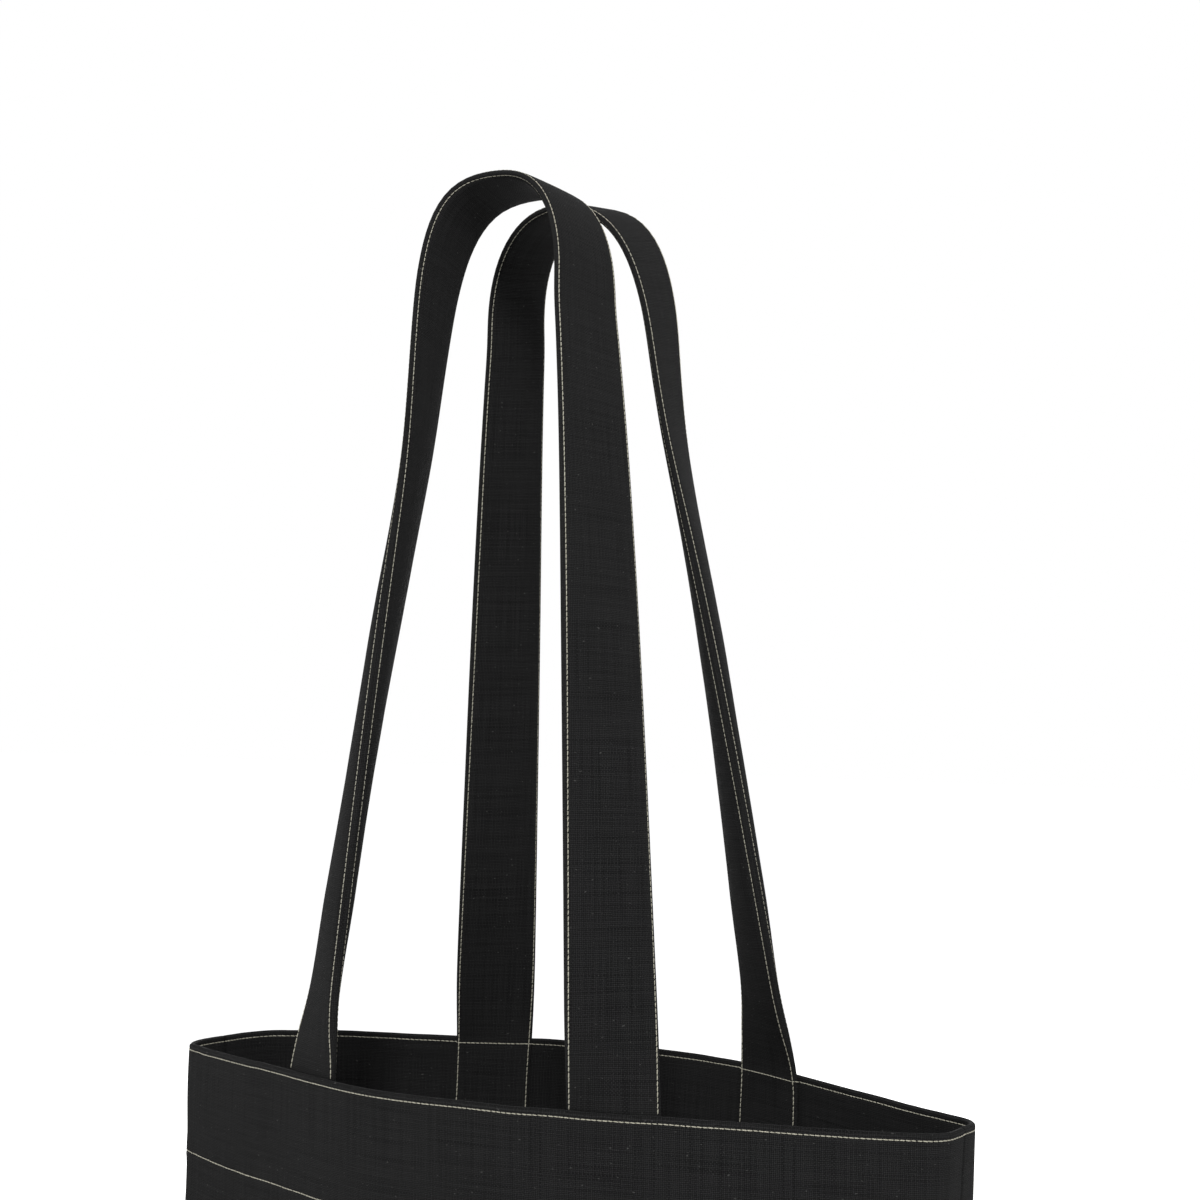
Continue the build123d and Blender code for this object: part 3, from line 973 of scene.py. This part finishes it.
# %% Half a loop
STRAP_X = 66.0 * MM
WAY_STEP = 4.0 * MM
LEG_POINTS, ARCH_POINTS = 80, 200
LOOPS = {
    FRONT: dict(
        top=347.8 * MM, apart=20.7 * MM, lean=0.648, sway=-6.2 * MM, yaw=0.073, tip=0.052,
        left=dict(
            foot=2.2 * MM, arch=37.4 * MM, leg=239.3 * MM, square=0.471, bow=0.917, twist=1.026, early=0.15
        ),
        right=dict(
            foot=1.3 * MM, arch=33.9 * MM, leg=292.1 * MM, square=0.95, bow=0.76, twist=0.574, early=0.11
        ),
    ),
    BACK: dict(
        top=347.2 * MM, apart=18.4 * MM, lean=0.60, sway=-8.2 * MM, yaw=0.066, tip=-0.15,
        left=dict(
            foot=0.6 * MM, arch=37.5 * MM, leg=292.5 * MM, square=0.90, bow=0.79, twist=0.536, early=0.014
        ),
        right=dict(
            foot=2.2 * MM, arch=34.6 * MM, leg=255.7 * MM, square=0.63, bow=0.813, twist=0.946, early=0.15
        ),
    ),
}


def half_way(loop, half):
    """Half a loop as distances from its middle and heights above the rim, evenly from the rim to the top."""
    heights = np.linspace(0, half["leg"], LEG_POINTS)
    spread = (STRAP_X + half["foot"] - half["arch"]) * (1 - heights / half["leg"]) ** half["bow"]
    turn = np.linspace(0, math.pi / 2, ARCH_POINTS)[1:]
    rise = (loop["top"] - half["leg"]) * np.sin(turn) ** half["square"]
    out = np.concatenate([half["arch"] + spread, half["arch"] * np.cos(turn) ** half["square"]])
    up = np.concatenate([heights, half["leg"] + rise])
    run = length_along(np.stack([out, up], -1))
    even = np.linspace(0, run[-1], round(run[-1] / WAY_STEP) + 1)
    return np.interp(even, run, out), np.interp(even, run, up)


for name, side in SIDES:
    counts = [len(half_way(LOOPS[side], LOOPS[side][half])[0]) for half in ("left", "right")]
    print("the halves of the", name, "loop have", counts, "points")

# %% [markdown]
# ## A loop from foot to foot
# The two halves of a loop differ a little, as the straps of a hung bag do, and meet at the top. A leg runs
# into its arch with a bend that no filled strap would make, so each point is moved a few times towards the
# middle of its neighbours. The legs get more of this than the arch, which keeps its shape.

# %% The way of a handle
WAY_SOFTENING = 8
LEG_SOFTENING = 40
LEG_BELOW_TOP = 40.0 * MM


def softened(line, passes):
    """A row of values or places with its bends rounded and its two ends kept."""
    line = line.copy()
    for _ in range(passes):
        line[1:-1] = (line[:-2] + 2 * line[1:-1] + line[2:]) / 4
    return line


def loop_way(loop):
    """A loop from left foot to right: x, height above the rim, and 0 to 1 and back as it climbs."""
    left_out, left_up = half_way(loop, loop["left"])
    right_out, right_up = half_way(loop, loop["right"])
    up = softened(np.concatenate([left_up, right_up[-2::-1]]), WAY_SOFTENING)
    x = softened(np.concatenate([-left_out, right_out[-2::-1]]), WAY_SOFTENING)
    on_leg = smooth_step((loop["top"] - up) / LEG_BELOW_TOP - 1)
    x = x + on_leg * (softened(x, LEG_SOFTENING) - x)
    climb = np.concatenate([np.linspace(0, 1, len(left_up)), np.linspace(1, 0, len(right_up))[1:]])
    return x + loop["sway"] * up / loop["top"], up, climb


for name, side in SIDES:
    way = np.stack(loop_way(LOOPS[side])[:2], -1)
    print(name, "loop is", length_along(way)[-1].round(3), "m from rim to rim")

# %% [markdown]
# ## The sewn ends
# The last forty millimetres of each strap are sewn flat to the inside of the hem. A strap is a grid too:
# its columns lie close together at the edges, where the cross-section is round. Each row of a sewn end asks
# the wall for its places, so the end has every dent and curve of the canvas that it lies on.

# %% The sewn ends of a handle
END_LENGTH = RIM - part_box("front_handle_left_end")[0].z
END_MIDDLE = 3.45 * MM
SEWN_ROWS = 13
STEADY_PART = slice(200, -200)
HALF_ACROSS = np.array([17, 16.93, 16.7, 16.3, 15.9, 15.6, 15.3, 15.0, 14.6, 14, 13, 11.5, 9.5, 7, 4]) * MM
ACROSS = np.concatenate([-HALF_ACROSS, [0], HALF_ACROSS[::-1]])


def share_at(side, x, z):
    """The share of the panel's width at which its wall stands at x, away from the ends."""
    places, _ = whole_wall(side, z)
    return float(np.interp(x, places[STEADY_PART, 0], SHARES[STEADY_PART]))


def sewn_rows(side, leg_side):
    """The middle surface of one sewn end, from its lower edge up to the rim, along the inside of the hem."""
    half = LOOPS[side]["left" if leg_side < 0 else "right"]
    rows = []
    for depth in np.linspace(END_LENGTH, 0, SEWN_ROWS):
        z = RIM - depth
        share = share_at(side, leg_side * (STRAP_X + half["foot"]), z)
        rows.append(wall(side, share - leg_side * ACROSS / PANEL_WIDTH, z, END_MIDDLE)[0])
    return np.array(rows)


print("a sewn end is", round(END_LENGTH * 1000, 1), "mm long and has", SEWN_ROWS, "rows")

# %% [markdown]
# ## The middle surface of a strap
# The free part follows the loop. Its width starts along the panel and turns until it points from front to
# back at the top. The curve of the panel fades out of it above the rim, and a few passes of averaging ease
# the sewn ends into it.

# %% The middle surface of a handle
MIDDLE = len(HALF_ACROSS)
BENT_UNTIL = 30.0 * MM
EASED_FROM = -6.0 * MM
EASED_TO = 40.0 * MM
EASED_PASSES = 6


def free_surface(side, feet):
    """The middle surface of a handle above the rim, between the top rows of its two sewn ends."""
    loop = LOOPS[side]
    x, up, climb = loop_way(loop)
    on_left = (np.arange(len(x)) <= np.argmax(climb))[:, None]
    start = np.where(on_left, feet[0][MIDDLE], feet[1][MIDDLE])
    flat = np.where(on_left, unit(feet[0][-1] - feet[0][0]), unit(feet[1][-1] - feet[1][0]))
    halves = loop["left"], loop["right"]
    twist, early = [np.where(on_left[:, 0], *[half[key] for half in halves]) for key in ("twist", "early")]
    lower = 1 - np.clip(up / loop["top"], 0, 1)
    depth = loop["apart"] + (abs(start[:, 1]) - loop["apart"]) * lower ** loop["lean"]
    x = x + (start[:, 0] - np.where(on_left[:, 0], x[0], x[-1])) * lower
    places = np.stack([x, side * depth, RIM + up + (start[:, 2] - RIM) * lower], -1)
    turn = (math.pi / 2 * (early + (1 - early) * climb**twist))[:, None]
    level = side * np.array([math.sin(loop["yaw"]), math.cos(loop["yaw"]), -math.sin(loop["tip"])])
    width = flat * np.cos(turn) + level * np.sin(turn)
    tangent = unit(np.gradient(places, axis=0))
    width = unit(width - tangent * (width * tangent).sum(1, keepdims=True))
    bends = [foot - foot[MIDDLE] - ACROSS[:, None] * width[end] for foot, end in zip(feet, (0, -1))]
    bend = np.where(on_left[:, :, None], bends[0], bends[1])
    fading = 1 - smooth_step(up / BENT_UNTIL)
    rows = places[:, None] + width[:, None] * ACROSS[None, :, None] + fading[:, None, None] * bend
    return rows, up


def middle_surface(side):
    """The middle of a whole handle, left sewn end to right, and each row's height above the rim."""
    left, right = [sewn_rows(side, leg_side) for leg_side in (-1, 1)]
    free, up = free_surface(side, [left[-1], right[-1]])
    below = np.linspace(-END_LENGTH, 0, SEWN_ROWS)
    rows = np.concatenate([left, free[1:-1], right[::-1]])
    heights = np.concatenate([below, up[1:-1], below[::-1]])
    near = (heights > EASED_FROM) & (heights < EASED_TO)
    for _ in range(EASED_PASSES):
        rows = np.where(near[:, None, None], softened(rows, 1), rows)
    return rows, heights


front_middle = middle_surface(FRONT)[0][:, MIDDLE]
print("front handle is", length_along(front_middle)[-1].round(3), "m long with its ends")

# %% [markdown]
# ## The strap's cross-section
# Across, the strap is a lens between its two rows of stitches and a rolled lip outside them, where four
# layers of canvas make the edge stiff and thick. The fullness varies a little along the strap, as
# hand-filled wadding does, and fades out towards the rim, below which the end is sewn flat. Over the arch
# the outer face is pulled tight and lies nearly flat.

# %% The cross-section of a strap
STRAP_WIDTH = 34.0 * MM
STRAP_FLAT = 2.4 * MM
STRAP_CROWN = 10.6 * MM
STRAP_EDGE = 3.5 * MM
ARCH_EDGE = 2.3 * MM
STITCH_INSET = 1.2 * MM
STITCH_ACROSS = STRAP_WIDTH / 2 - STITCH_INSET
PADDED_FROM = 70.0 * MM
ARCH_CROWNS = {"outer": 3.0 * MM, "inner": 7.2 * MM}
ARCH_HEIGHT = 190.0 * MM
ARCH_FADE = 120.0 * MM
LENS_FULLNESS = 0.55
STITCH_PULL_REACH = 0.5 * MM
FILL_SEED, FILL_SPACING, FILL_WAVE = 40, 45.0 * MM, 0.06


def half_thickness(crown, edge):
    """Half the strap's thickness at each place across, from its middle and its edge thickness."""
    away = np.abs(ACROSS)
    lens = np.clip(1 - (away / STITCH_ACROSS) ** 2, 0, 1) ** LENS_FULLNESS
    edge = min(edge, crown)
    body = edge / 2 + (crown - edge) / 2 * lens
    roll = np.clip((away - STITCH_ACROSS) / STITCH_INSET, 0, 1)
    pull = GROOVE * np.exp(-(((away - STITCH_ACROSS) / STITCH_PULL_REACH) ** 2))
    return body * np.sqrt(1 - roll**2) - pull * (1 - roll)


def strap_faces(side):
    """The middle surface of a handle, the directions square to it and the half thickness of each face."""
    rows, heights = middle_surface(side)
    normal = unit(np.cross(np.gradient(rows, axis=0), np.gradient(rows, axis=1)))
    run = length_along(rows[:, MIDDLE])
    filled = smooth_step(heights / PADDED_FROM)
    uneven = 1 + FILL_WAVE * waves(FILL_SEED + side, run[-1], FILL_SPACING, run)
    arched = smooth_step((heights - LOOPS[side]["top"] + ARCH_HEIGHT) / ARCH_FADE)
    edges = STRAP_EDGE + (ARCH_EDGE - STRAP_EDGE) * arched
    half = {}
    for face, label in ((side, "outer"), (-side, "inner")):
        full = STRAP_CROWN + (ARCH_CROWNS[label] - STRAP_CROWN) * arched
        crowns = STRAP_FLAT + (full * uneven - STRAP_FLAT) * filled
        half[face] = np.array([half_thickness(crown, edge) for crown, edge in zip(crowns, edges)])
    return rows, normal, half, run, heights


STRAPS = {side: strap_faces(side) for _, side in SIDES}
for name, side in SIDES:
    thickest = sum(STRAPS[side][2].values()).max()
    print(name, "strap is up to", round(thickest * 1000, 1), "mm thick")

# %% [markdown]
# ## The straps
# A handle swings about the rim as one stiff loop, while its ends stay on the bag. Two separate pieces would
# part there, so each strap is one piece from one sewn end to the other. Two points are also found on it,
# a little below and a little above the rim.

# %% Make the two straps
BEND_BELOW, BEND_ABOVE = 2.0 * MM, 30.0 * MM


def joint_bend(side):
    """Two points, a little below and a little above the rim, in line with the handle's sewn ends."""
    y = STRAPS[side][0][SEWN_ROWS - 1, MIDDLE, 1]
    return (0, y, RIM - BEND_BELOW), (0, y, RIM + BEND_ABOVE)


def make_strap(name, side):
    """One padded handle with its two sewn ends."""
    rows, normal, half, run, _ = STRAPS[side]
    upper = rows + normal * half[1][:, :, None]
    lower = rows - normal * half[-1][:, :, None]
    rings = np.concatenate([upper, lower[:, -2:0:-1]], axis=1)
    girth = rings[len(rings) // 4]
    around = length_along(np.concatenate([girth, girth[:1]]))
    made = tube(name + "_handle_strap", rings, around, run, STRAP_CANVAS)
    start, end = joint_bend(side)
    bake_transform(made)
    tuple(start)
    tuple(end)
    ends = [f"{name}_handle_{label}_end" for label in ("left", "right")]
    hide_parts(name + "_handle", name + "_handle_wadding", *ends)
    return made


for name, side in SIDES:
    strap = make_strap(name, side)
    print(strap.name, "has", len(strap.data.vertices), "points")

# %% [markdown]
# ## Stitches
# A row of lockstitch is not a line: each stitch is a short piece of thread that comes out of the cloth,
# lies on it, and goes back in. Every stitch here is its own small capsule, thick in the middle, with both
# ends sunk into the canvas and a slight slant, all along a line that some surface gives.

# %% Lay rows of stitches
STITCH_PITCH = 1.93 * MM
STITCH_LENGTH = 1.85 * MM
THREAD_HALF = 0.20 * MM
SECTION_PLACES = np.array([-0.5, -0.3, 0.3, 0.5])
SECTION_SIZES = np.array([0.6, 1.0, 1.0, 0.6])
SECTION_SINKS = np.array([-0.10, 0.06, 0.06, -0.10]) * MM
THREAD_SIDES = 6
PLACE_SPREAD, LENGTH_SPREAD, RADIUS_SPREAD = 0.06 * MM, 0.04, 0.05
SLANT, SLANT_SPREAD = 0.10, 0.04


def one_row(line, normals, seed):
    """Rings of points for the stitches of one row along a line of points on a surface."""
    run = length_along(line)
    count = int(run[-1] / STITCH_PITCH)
    random = np.random.default_rng(seed)
    centres = (np.arange(count) + 0.5) * run[-1] / count + random.normal(0, PLACE_SPREAD, count)
    lengths = STITCH_LENGTH * (1 + random.normal(0, LENGTH_SPREAD, count))
    at = centres[:, None] + lengths[:, None] * SECTION_PLACES
    places = read_line(at, run, line)
    normal = read_line(centres, run, normals)
    ahead = unit(places[:, -1] - places[:, 0])
    sideways = unit(np.cross(ahead, normal))
    up = np.cross(sideways, ahead)
    slant = random.normal(SLANT, SLANT_SPREAD, count)[:, None] * MM * SECTION_PLACES
    places = places + sideways[:, None] * slant[:, :, None] + up[:, None] * SECTION_SINKS[None, :, None]
    angles = np.arange(THREAD_SIDES) * 2 * math.pi / THREAD_SIDES
    radius = THREAD_HALF * (1 + random.normal(0, RADIUS_SPREAD, count))[:, None] * SECTION_SIZES
    turn = sideways[:, None] * np.cos(angles)[:, None] + up[:, None] * np.sin(angles)[:, None]
    return places[:, :, None] + turn[:, None] * radius[:, :, None, None]


def stitch_piece(name, rows, material):
    """One object from several rows of stitches."""
    rings = np.concatenate(rows)
    count, sections, sides, _ = rings.shape
    index = np.arange(rings.size // 3).reshape(count, sections, sides)
    faces = ring_quads(index).tolist() + index[:, 0, ::-1].tolist() + index[:, -1].tolist()
    girth = np.arange(sides + 1) * 2 * THREAD_HALF * math.pi / sides
    one_map = quad_map(girth, (SECTION_PLACES + 0.5) * STITCH_LENGTH)
    quads_map = np.broadcast_to(one_map, (count, *one_map.shape)).reshape(-1, 2)
    face_map = np.concatenate([quads_map, np.zeros((2 * count * sides, 2))])
    return finish_mesh(name, rings, faces, face_map, material)


print("a stitch is", round(STITCH_LENGTH * 1000, 2), "mm long")

# %% [markdown]
# ## Thread along the rim and the hem
# Two rows go round the bag: a topstitch just below the rim and the row that holds the hem down. Each shows
# outside and inside. The inside topstitch runs over the sewn ends of the handles, as the last seam sewn.

# %% Stitch the rim and the hem
SEAM_CLEAR = 0.05 * MM / PANEL_WIDTH
ROW_POINTS = 500
ROW_SHARES = np.linspace(SEAM_CLEAR, 1 - SEAM_CLEAR, ROW_POINTS)
INSIDE_FACE = HEM_MIDDLE + CLOTH_THICKNESS / 2
OVER_END = 0.3 * MM
# Each row: its name, how far it lies below the rim, and the seed of its random numbers.
RING_ROWS = (("rim_topstitch", RIM_STITCH, 100), ("hem_stitch", HEM_STITCH, 110))


def on_strap_end(side, leg_side, below_rim):
    """A line across the inner face of one sewn end, from left to right, with the directions square to it."""
    rows, normal, half, _, heights = STRAPS[side]
    top = int(np.argmax(heights))
    leg = slice(0, top) if leg_side < 0 else slice(len(heights) - 1, top, -1)
    face = rows[leg] - side * normal[leg] * half[-side][leg][:, :, None]
    row = int(np.searchsorted(heights[leg], -below_rim))
    share = (-below_rim - heights[leg][row - 1]) / (heights[leg][row] - heights[leg][row - 1])
    line = face[row - 1] + (face[row] - face[row - 1]) * share
    order = slice(None, None, -leg_side)
    return line[order], -side * normal[leg][row][order]


def inner_line(side, below_rim, inset):
    """The way of a row of stitches along the inside of a panel, over the sewn ends where it meets them."""
    line, out = wall(side, ROW_SHARES, RIM - below_rim, inset)
    lines, normals = [line], [-out]
    if below_rim < END_LENGTH:
        for leg_side in (-1, 1):
            over, up = on_strap_end(side, leg_side, below_rim)
            before = lines[-1][:, 0] < over[0, 0] - OVER_END
            after = lines[-1][:, 0] > over[-1, 0] + OVER_END
            lines[-1:] = [lines[-1][before], over, lines[-1][after]]
            normals[-1:] = [normals[-1][before], up, normals[-1][after]]
    return np.concatenate(lines), np.concatenate(normals)


def ring_rows(side, below_rim, seed):
    """The outer and the inner row of one line of stitches along a panel."""
    folds = puckers(side, ROW_SHARES, below_rim)
    pull = pull_of_stitches(below_rim)
    face = CLOTH_MIDDLE - CLOTH_THICKNESS / 2 + pull - HEM_RIDGE
    line, out = wall(side, ROW_SHARES, RIM - below_rim, face - folds)
    inner, inward = inner_line(side, below_rim, INSIDE_FACE - pull - folds)
    return [one_row(line, out, seed), one_row(inner, inward, seed + 1)]


for name, side in SIDES:
    for label, below, seed in RING_ROWS:
        made = stitch_piece(f"{name}_{label}_thread", ring_rows(side, below, seed + 2 * side), CREAM_THREAD)
        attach(made, "bag")
        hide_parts(f"{name}_{label}")
        print(made.name, "has", len(made.data.polygons), "faces")

# %% [markdown]
# ## Thread along the handles
# The strap is closed by a row of stitches along each edge, which shows on both faces. Above the rim the
# rows follow the handle. Below it only the inner face shows, and a row across holds the end down.

# %% Stitch the handles
END_CROSS = 3.0 * MM
OUTER_ROWS_FROM = -3.0 * MM
INNER_ROWS_FROM = -0.5 * MM
LOOP_SEED, END_SEED, CROSS_SEED = 200, 300, 340


def face_line(side, column, face):
    """A line along one face of a strap, with the directions square to it."""
    rows, normal, half, _, heights = STRAPS[side]
    line = rows[:, column] + face * normal[:, column] * half[face][:, column, None]
    return line, face * normal[:, column], heights


def edge_columns():
    """The two columns of the strap's grid where its rows of stitches lie."""
    return [int(np.argmin(np.abs(ACROSS - place))) for place in (-STITCH_ACROSS, STITCH_ACROSS)]


def loop_rows(side):
    """Rows of stitches along both edges and both faces, above the rim."""
    rows = []
    for column in edge_columns():
        for face in (-1, 1):
            line, normal, heights = face_line(side, column, face)
            free = heights > (INNER_ROWS_FROM if face == -side else OUTER_ROWS_FROM)
            rows.append(one_row(line[free], normal[free], LOOP_SEED + 10 * column + face + 2 * side))
    return rows


def end_rows(side):
    """Rows of stitches on the inner face of both sewn ends: down each edge, and one across."""
    rows = []
    inner = -side
    for ends in (slice(0, SEWN_ROWS), slice(-SEWN_ROWS, None)):
        for column in edge_columns():
            line, normal, heights = face_line(side, column, inner)
            line, normal, heights = line[ends], normal[ends], heights[ends]
            keep = heights > END_CROSS - END_LENGTH
            rows.append(one_row(line[keep], normal[keep], END_SEED + column + 2 * side))
        strap, normal, half, _, _ = STRAPS[side]
        row = 1 if ends.start == 0 else -2
        face = strap[row] + inner * normal[row] * half[inner][row][:, None]
        low, high = edge_columns()
        rows.append(one_row(face[low : high + 1], inner * normal[row][low : high + 1], CROSS_SEED + 2 * side))
    return rows


for name, side in SIDES:
    loop_thread = stitch_piece(name + "_handle_thread", loop_rows(side), CREAM_THREAD)
    start, end = joint_bend(side)
    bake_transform(loop_thread)
    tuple(start)
    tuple(end)
    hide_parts(name + "_handle_stitches")
    end_thread = stitch_piece(name + "_handle_end_thread", end_rows(side), CREAM_THREAD)
    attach(end_thread, "bag")
    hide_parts(name + "_handle_end_stitches")
    for made in (loop_thread, end_thread):
        print(made.name, "has", len(made.data.polygons), "faces")

# %% [markdown]
# ## Seam allowances inside
# Turned right side out, a sewn bag keeps the edges of its seams inside: a strip of two layers pressed to
# one side. They can't be seen from outside, but a look into the mouth shows them. Each strip is a flat tube.
# The two along the side seams ask the wall for their places, and the others lie on the bottom.

# %% The strips of the allowances
ALLOWANCE = 10.0 * MM
STRIP_HALF = 0.9 * MM
SEAM_LOW = 20.0 * MM
SEAM_HIGH = RIM - HEM_DEPTH - 1.0 * MM
SIDE_ROWS, FLAT_ROWS, STRIP_COLUMNS = 60, 40, 9
STRIP_START = 0.4 * MM
STRIP_ROUNDING, STRIP_THINNEST = 8, 0.02


def strip(name, middle, normal, material):
    """A flat strip of two layers along a grid of places, rounded at its edges."""
    count = middle.shape[1]
    share = np.linspace(-1, 1, count)
    half = STRIP_HALF * np.sqrt(np.clip(1 - share**STRIP_ROUNDING, STRIP_THINNEST, 1))
    upper = middle + normal * half[None, :, None]
    lower = middle - normal * half[None, :, None]
    rings = np.concatenate([upper, lower[:, ::-1]], axis=1)
    around = length_along(np.concatenate([rings[0], rings[0][:1]]))
    return tube(name, rings, around, length_along(middle[:, count // 2]), material)


def side_strip(sign):
    """Places of a side seam's allowance, folded to the back along the inside of the wall."""
    across = np.linspace(STRIP_START, ALLOWANCE, STRIP_COLUMNS)
    shares = across / PANEL_WIDTH if sign < 0 else 1 - across / PANEL_WIDTH
    rows, normals = [], []
    for z in np.linspace(SEAM_LOW, SEAM_HIGH, SIDE_ROWS):
        places, out = wall(BACK, shares, z, CLOTH_MIDDLE + CLOTH_THICKNESS / 2 + STRIP_HALF)
        rows.append(places)
        normals.append(-out)
    return np.array(rows), np.array(normals)


def flat_strip(start, stop, across):
    """Places of an allowance that lies on the bottom, along a line and to one side of it."""
    lift = Vector((0, 0, CLOTH_MIDDLE + CLOTH_THICKNESS / 2 + STRIP_HALF))
    shares = np.linspace(0, 1, FLAT_ROWS)[:, None, None]
    wide = np.linspace(0, 1, STRIP_COLUMNS)[None, :, None]
    line = np.array(start) + (np.array(stop) - np.array(start)) * shares
    rows = line + np.array(across) * wide + np.array(lift)
    return rows, np.broadcast_to([0.0, 0.0, 1.0], rows.shape)


print("a side strip runs from", [round(z * 1000, 1) for z in (SEAM_LOW, SEAM_HIGH)], "mm above the floor")

# %% [markdown]
# ## Overlocked edges
# Canvas frays, so a machine wraps the raw edge of a strip in thread. It is laid here as rows of stitches
# again: many short slanting ones over the edge, and one long row along it. The short strips across the
# corners of the bottom have no overlock.

# %% Make the allowances
OVERLOCK_SEED = 500
OVERLOCK_COLUMN = -4
LOOPS_FROM, LOOPS_SHORT_BY = 2.0 * MM, 4.0 * MM
LOOP_STEP, LOOP_SLANT, LOOP_LIFT = 2.2 * MM, 1.6 * MM, 0.05 * MM


def overlock_rows(rows, normals, seed):
    """Slanting loops of thread over the free edge of a strip."""
    edge, inner = rows[:, -1], rows[:, OVERLOCK_COLUMN]
    run = length_along(edge)
    made = []
    for number, at in enumerate(np.arange(LOOPS_FROM, run[-1] - LOOPS_SHORT_BY, LOOP_STEP)):
        low = read_line(at, run, edge)
        high = read_line(at + LOOP_SLANT, run, inner)
        up = normals[len(normals) // 2, -1] * (STRIP_HALF + LOOP_LIFT)
        line = np.stack([low + up, (low + high) / 2 + up, high + up])
        made.append(one_row(line, np.stack([up, up, up]) / np.linalg.norm(up), seed + number))
    return made + [one_row(edge + normals[:, -1] * 0.5 * STRIP_HALF, normals[:, -1], seed)]


def make_allowance(label, places, overlocked):
    """One allowance, with its overlocked edge where it has one."""
    rows, normals = places
    made = [strip(label + "_seam_strip", rows, normals, BAG_CANVAS)]
    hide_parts(label + "_seam_allowance")
    if overlocked:
        loops = overlock_rows(rows, normals, OVERLOCK_SEED)
        edge = stitch_piece(label + "_overlock_thread", loops, BLACK_THREAD)
        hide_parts(label + "_overlock")
        made.append(edge)
    for piece in made:
        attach(piece, "bag")
        print(piece.name, "has", len(piece.data.polygons), "faces")
    return made


BOTTOM_REACH = BASE_HALF_WIDTH - FOLD_RADIUS - 2 * ALLOWANCE
CORNER_REACH = BASE_END_HALF - BASE_CORNER - FOLD_RADIUS
CORNER_GAP = 0.2 * MM
bottom = flat_strip((-BOTTOM_REACH, 0, 0), (BOTTOM_REACH, 0, 0), (0, ALLOWANCE, 0))
ALLOWANCES = make_allowance("bottom", bottom, True)
for label, sign in (("left", -1), ("right", 1)):
    ALLOWANCES += make_allowance(label + "_side", side_strip(sign), True)
    near = sign * (BOTTOM_REACH + CORNER_GAP)
    across = (sign * (ALLOWANCE - CORNER_GAP), 0, 0)
    corner = flat_strip((near, -CORNER_REACH, 0), (near, CORNER_REACH, 0), across)
    ALLOWANCES += make_allowance(label + "_corner", corner, False)

# The strips inside belong to the same cut.
